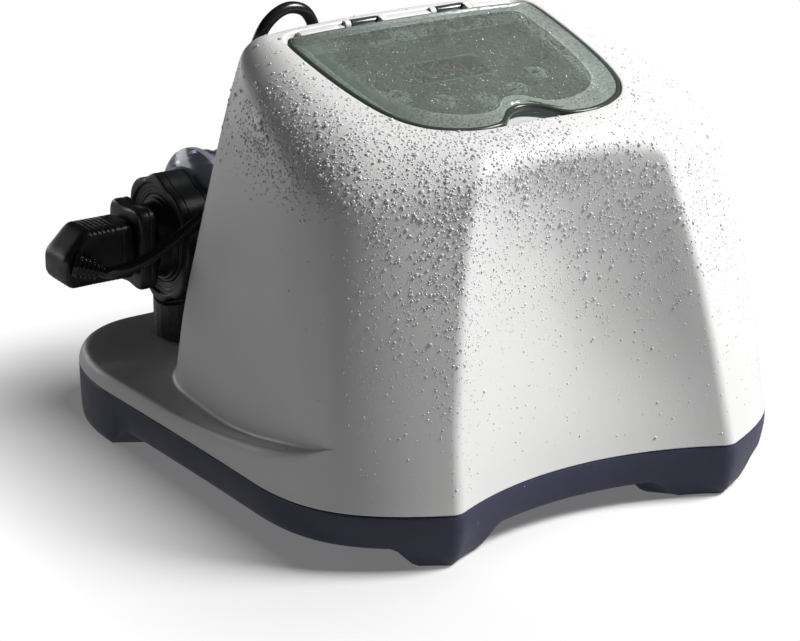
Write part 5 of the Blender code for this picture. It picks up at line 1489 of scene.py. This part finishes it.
# ---------------------------------------------------------------- water droplets
def scattered(rings, weight, count, sizes):
    """Spots on a surface: (points, normals, radii), denser where weight is higher, none closer
    than they are wide. sizes are the least, mean and greatest radius."""
    verts, faces = tube(rings)
    triangles = np.array([face[:3] for face in faces]
                         + [[face[0], face[2], face[3]] for face in faces])
    corners = verts[triangles]
    normal = np.cross(corners[:, 1] - corners[:, 0], corners[:, 2] - corners[:, 0])
    area = np.linalg.norm(normal, axis=1)
    keep = area > 1e-6
    corners, normal, area = corners[keep], normal[keep], area[keep]
    normal /= area[:, None]
    first, second, third = corners[:, 0], corners[:, 1], corners[:, 2]
    chance = area * np.maximum(weight((first + second + third) / 3, normal), 0)
    pick = RNG.choice(len(chance), size=count * 3, p=chance / chance.sum())
    along, across = RNG.random(len(pick)), RNG.random(len(pick))
    flip = along + across > 1
    along[flip], across[flip] = 1 - along[flip], 1 - across[flip]
    points = (first[pick] + (second - first)[pick] * along[:, None]
              + (third - first)[pick] * across[:, None])
    least, mean, most = sizes
    radii = np.clip(least + RNG.gamma(1.9, (mean - least) / 1.9, len(pick)), least, most)
    cell = 4.0  # spots are looked up by cubes of this size
    taken, chosen = {}, []
    for i in np.argsort(-radii):
        x, y, z = np.floor(points[i] / cell).astype(int)
        near = [j for dx in (-1, 0, 1) for dy in (-1, 0, 1) for dz in (-1, 0, 1)
                for j in taken.get((x + dx, y + dy, z + dz), ())]
        if near:
            distance = np.linalg.norm(points[near] - points[i], axis=1)
            if (distance < 0.85 * (radii[near] + radii[i])).any():
                continue
        taken.setdefault((x, y, z), []).append(i)
        chosen.append(i)
    chosen = np.array(chosen)
    if len(chosen) > count:
        chosen = np.sort(RNG.choice(chosen, count, replace=False))
    return points[chosen], normal[pick][chosen], radii[chosen]


def domes(points, normals, radii, plump, sides):
    """Closed sessile drops, uneven in plan; plump is their height over their radius."""
    count = len(points)
    level = np.cross(normals, np.array([0, 0, 1.0]))
    level[np.linalg.norm(level, axis=1) < 1e-3] = (1, 0, 0)
    level /= np.linalg.norm(level, axis=1)[:, None]
    steep = np.cross(normals, level)
    angle = np.arange(sides) * 2 * pi / sides
    uneven = 1 + RNG.normal(0, 0.06, (count, sides))
    stretch = 1 + RNG.normal(0, 0.08, count)
    sag = 0.10 * np.clip(1 - np.abs(normals[:, 2]), 0, 1)
    rings = []
    profile = ((0.93, -0.10), (1.0, 0.12), (0.80, 0.62), (0.42, 0.92))  # share of radius, height
    for share, height in profile:
        across = (np.cos(angle) * share)[None, :, None]
        down = (np.sin(angle) * share)[None, :, None]
        offset = level[:, None] * across * stretch[:, None, None] + steep[:, None] * down
        offset = offset * uneven[:, :, None]
        low = steep * (sag * max(height, 0))[:, None]
        rings.append(points[:, None] + (offset + low[:, None]) * radii[:, None, None]
                     + (normals * (radii * plump * height)[:, None])[:, None])
    top = points + normals * (radii * plump)[:, None]
    bottom = points - normals * (radii * 0.10)[:, None]
    block = np.concatenate([bottom[:, None]] + rings + [top[:, None]], axis=1)
    size = block.shape[1]
    drop = [[0, 1 + (j + 1) % sides, 1 + j] for j in range(sides)]
    drop += [[i + 1 for i in face] for face in ring_faces(len(profile), sides)]
    last = 1 + (len(profile) - 1) * sides
    drop += [[last + j, last + (j + 1) % sides, size - 1] for j in range(sides)]
    faces = [[i + size * k for i in face] for k in range(count) for face in drop]
    return block.reshape(-1, 3), faces


def droplets(part, rings, weight, count, sizes, material, body, plump, sides, scale=None):
    points, normals, radii = scattered(rings, weight, count, sizes)
    if scale:
        radii = radii * scale(points)
    piece("water_droplets_" + part, [domes(points, normals, radii, plump, sides)], material,
          body, slot="", smooth=60, recalc=False)


def hump(value, centre, width):
    return np.exp(-((value - centre) / width) ** 2)


def housing_wetness(points, normals):
    """The shoulders and the upper front are covered, the lower walls and the deck barely."""
    x, y, z = points.T
    left = ease((30 - x) / 60)
    shoulder = ease((z - 190) / 34) * (0.30 + 1.1 * hump(z, 234, 20)) * (0.12 + 0.88 * left)
    front = (ease((70 - y) / 25) * ease((-normals[:, 1] - 0.5) / 0.3)
             * (0.05 + 0.95 * ease((z - 80) / 130) ** 1.3))
    crease_x = 92 - (z - 60) * 0.13
    left_crease = (hump(x, -crease_x - 7, 15) * ease((95 - y) / 60)
                   * (0.12 + 0.88 * ease((z - 60) / 140)))
    low = 0.035 * ease((z - 50) / 30) * ease((120 - y) / 90)
    rear = ease((y - 150) / 60)
    return (shoulder * 1.25 + front * 0.62 + left_crease * 1.1 + low) * (1 - 0.85 * rear)


def tray_wetness(points, normals):
    return 0.15 + ease((70 - points[:, 1]) / 60) * ease((points[:, 2] - 4) / 12)


droplets("housing", housing[3 : len(outside)], housing_wetness, 7000,
         sizes=(0.30, 0.55, 1.75), material="water_beads", body="housing", plump=0.7, sides=8,
         scale=lambda points: 0.75 + 0.35 * ease((points[:, 2] - 90) / 140))
droplets("lid", lid[-8:], lambda points, normals: np.ones(len(points)), 2900,
         sizes=(0.30, 0.60, 1.6), material="water", body="lid", plump=0.66, sides=9)
droplets("tray", tray[9:-3], tray_wetness, 150, sizes=(0.34, 0.6, 1.3),
         material="water", body="housing", plump=0.62, sides=9, scale=lambda points: 0.8)

# ---------------------------------------------------------------- floor
scene = bpy.context.scene
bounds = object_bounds()


def floor_material():
    """To the camera the floor glows white, more strongly away from the object, so its cast shadow
    fades out: painted light;
    to other rays it is a dull card that also glows faintly, a painted fill light from below."""
    tree = Tree("pale_floor")
    noise = tree.noise(scale=3.0, detail=2.0)
    paper = tree.add("BsdfPrincipled", {
        "Base Color": tree.mix(noise, (0.90, 0.90, 0.90), (0.93, 0.93, 0.93)),
        "Roughness": tree.span(noise, NOISE, to=(0.55, 0.65)),
        "Normal": tree.bump(tree.noise(scale=400.0), strength=0.02, distance=0.0001)})
    place = tree.add("SeparateXYZ", {0: tree.coord}).outputs
    squares = []
    for k, axis in enumerate("XY"):
        centre = (bounds[0][k] + bounds[1][k]) / 2
        half = (bounds[1][k] - bounds[0][k]) / 2 - 0.05
        off = tree.math("ABSOLUTE", tree.math("SUBTRACT", place[axis], centre))
        away = tree.math("MAXIMUM", tree.math("SUBTRACT", off, half), 0.0)
        squares.append(tree.times(away, away))
    far = tree.math("SQRT", tree.math("ADD", *squares))
    # painted light: away from the object the camera sees white glow instead of the paper, so the
    # cast shadow fades out short
    glow = tree.span(far, (0.03, 0.16), to=(0.14, 1.0))
    white = tree.add("Emission", {"Color": (1, 1, 1, 1), "Strength": 1.0})
    card = tree.add("BsdfDiffuse", {"Color": (0.24, 0.24, 0.243, 1)})
    # painted glow: the card gives off a faint light of its own, lighting the object from below
    card_glow = tree.add("Emission", {"Color": (1, 1, 1, 1), "Strength": 0.19})
    dull = tree.add("AddShader", {0: card.outputs[0], 1: card_glow.outputs[0]})
    camera_ray = tree.add("LightPath").outputs["Is Camera Ray"]
    tree.out(tree.blend(camera_ray, dull, tree.blend(glow, paper, white)))


floor_material()
data = bpy.data.meshes.new("floor")
data.from_pydata([(-6, -6, 0), (6, -6, 0), (6, 6, 0), (-6, 6, 0)], [], [[0, 1, 2, 3]])
data.materials.append(MATERIALS["pale_floor"])
floor = bpy.data.objects.new("floor", data)
floor.location.z = bounds[0][2] - 0.0002
scene.collection.objects.link(floor)

# ---------------------------------------------------------------- camera and light
CAMERA_AT = (-1000.336, -1354.180, 750.042)
AZIMUTH, DOWN = radians(32.30444), radians(19.99307)  # from +Y towards +X, and below level
view = bpy.data.cameras.new("view")
view.lens, view.sensor_width, view.clip_end = 135.0, 36.0, 50.0
camera = bpy.data.objects.new("view", view)
scene.collection.objects.link(camera)
ahead = Vector((sin(AZIMUTH) * cos(DOWN), cos(AZIMUTH) * cos(DOWN), -sin(DOWN)))
right = Vector((cos(AZIMUTH), -sin(AZIMUTH), 0))
camera.location = Vector(world(CAMERA_AT))
turned = Matrix((right, right.cross(ahead), -ahead)).transposed().to_4x4()
camera.matrix_world = Matrix.Translation(camera.location) @ turned
scene.camera = camera


def softbox(name, place, target, width, height, power):
    """Area light; place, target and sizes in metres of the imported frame, power in watts."""
    lamp = bpy.data.lights.new(name, "AREA")
    lamp.shape, lamp.size, lamp.size_y, lamp.energy = "RECTANGLE", width, height, power
    obj = bpy.data.objects.new(name, lamp)
    obj.location = Vector(place)
    scene.collection.objects.link(obj)
    obj.rotation_euler = (Vector(target) - obj.location).to_track_quat("-Z", "Y").to_euler()


softbox("key", place=(1.06, -0.74, 1.41), target=(0.0, -0.02, 0.13), width=0.7, height=0.7,
        power=49)
softbox("rear_fill", place=(-0.5, 1.7, 0.26), target=(-0.05, 0.1, 0.14), width=1.0, height=0.3,
        power=3.4)
softbox("left_fill", place=(-1.75, 0.35, 0.11), target=(0.0, 0.05, 0.11), width=1.3,
        height=0.20, power=1.2)

# the world is white to the camera and gives only a faint light
sky = bpy.data.worlds.new("studio")
scene.world = sky
sky.use_nodes = True
nodes, links = sky.node_tree.nodes, sky.node_tree.links
nodes.clear()
blend = nodes.new("ShaderNodeMixShader")
for socket, colour, strength in ((1, (0.97, 0.98, 1.0, 1), 0.012), (2, (1, 1, 1, 1), 1.0)):
    background = nodes.new("ShaderNodeBackground")
    background.inputs["Color"].default_value = colour
    background.inputs["Strength"].default_value = strength
    links.new(background.outputs[0], blend.inputs[socket])
rays = nodes.new("ShaderNodeLightPath")
links.new(rays.outputs["Is Camera Ray"], blend.inputs[0])
links.new(blend.outputs[0], nodes.new("ShaderNodeOutputWorld").inputs["Surface"])
scene.view_settings.view_transform = "Standard"
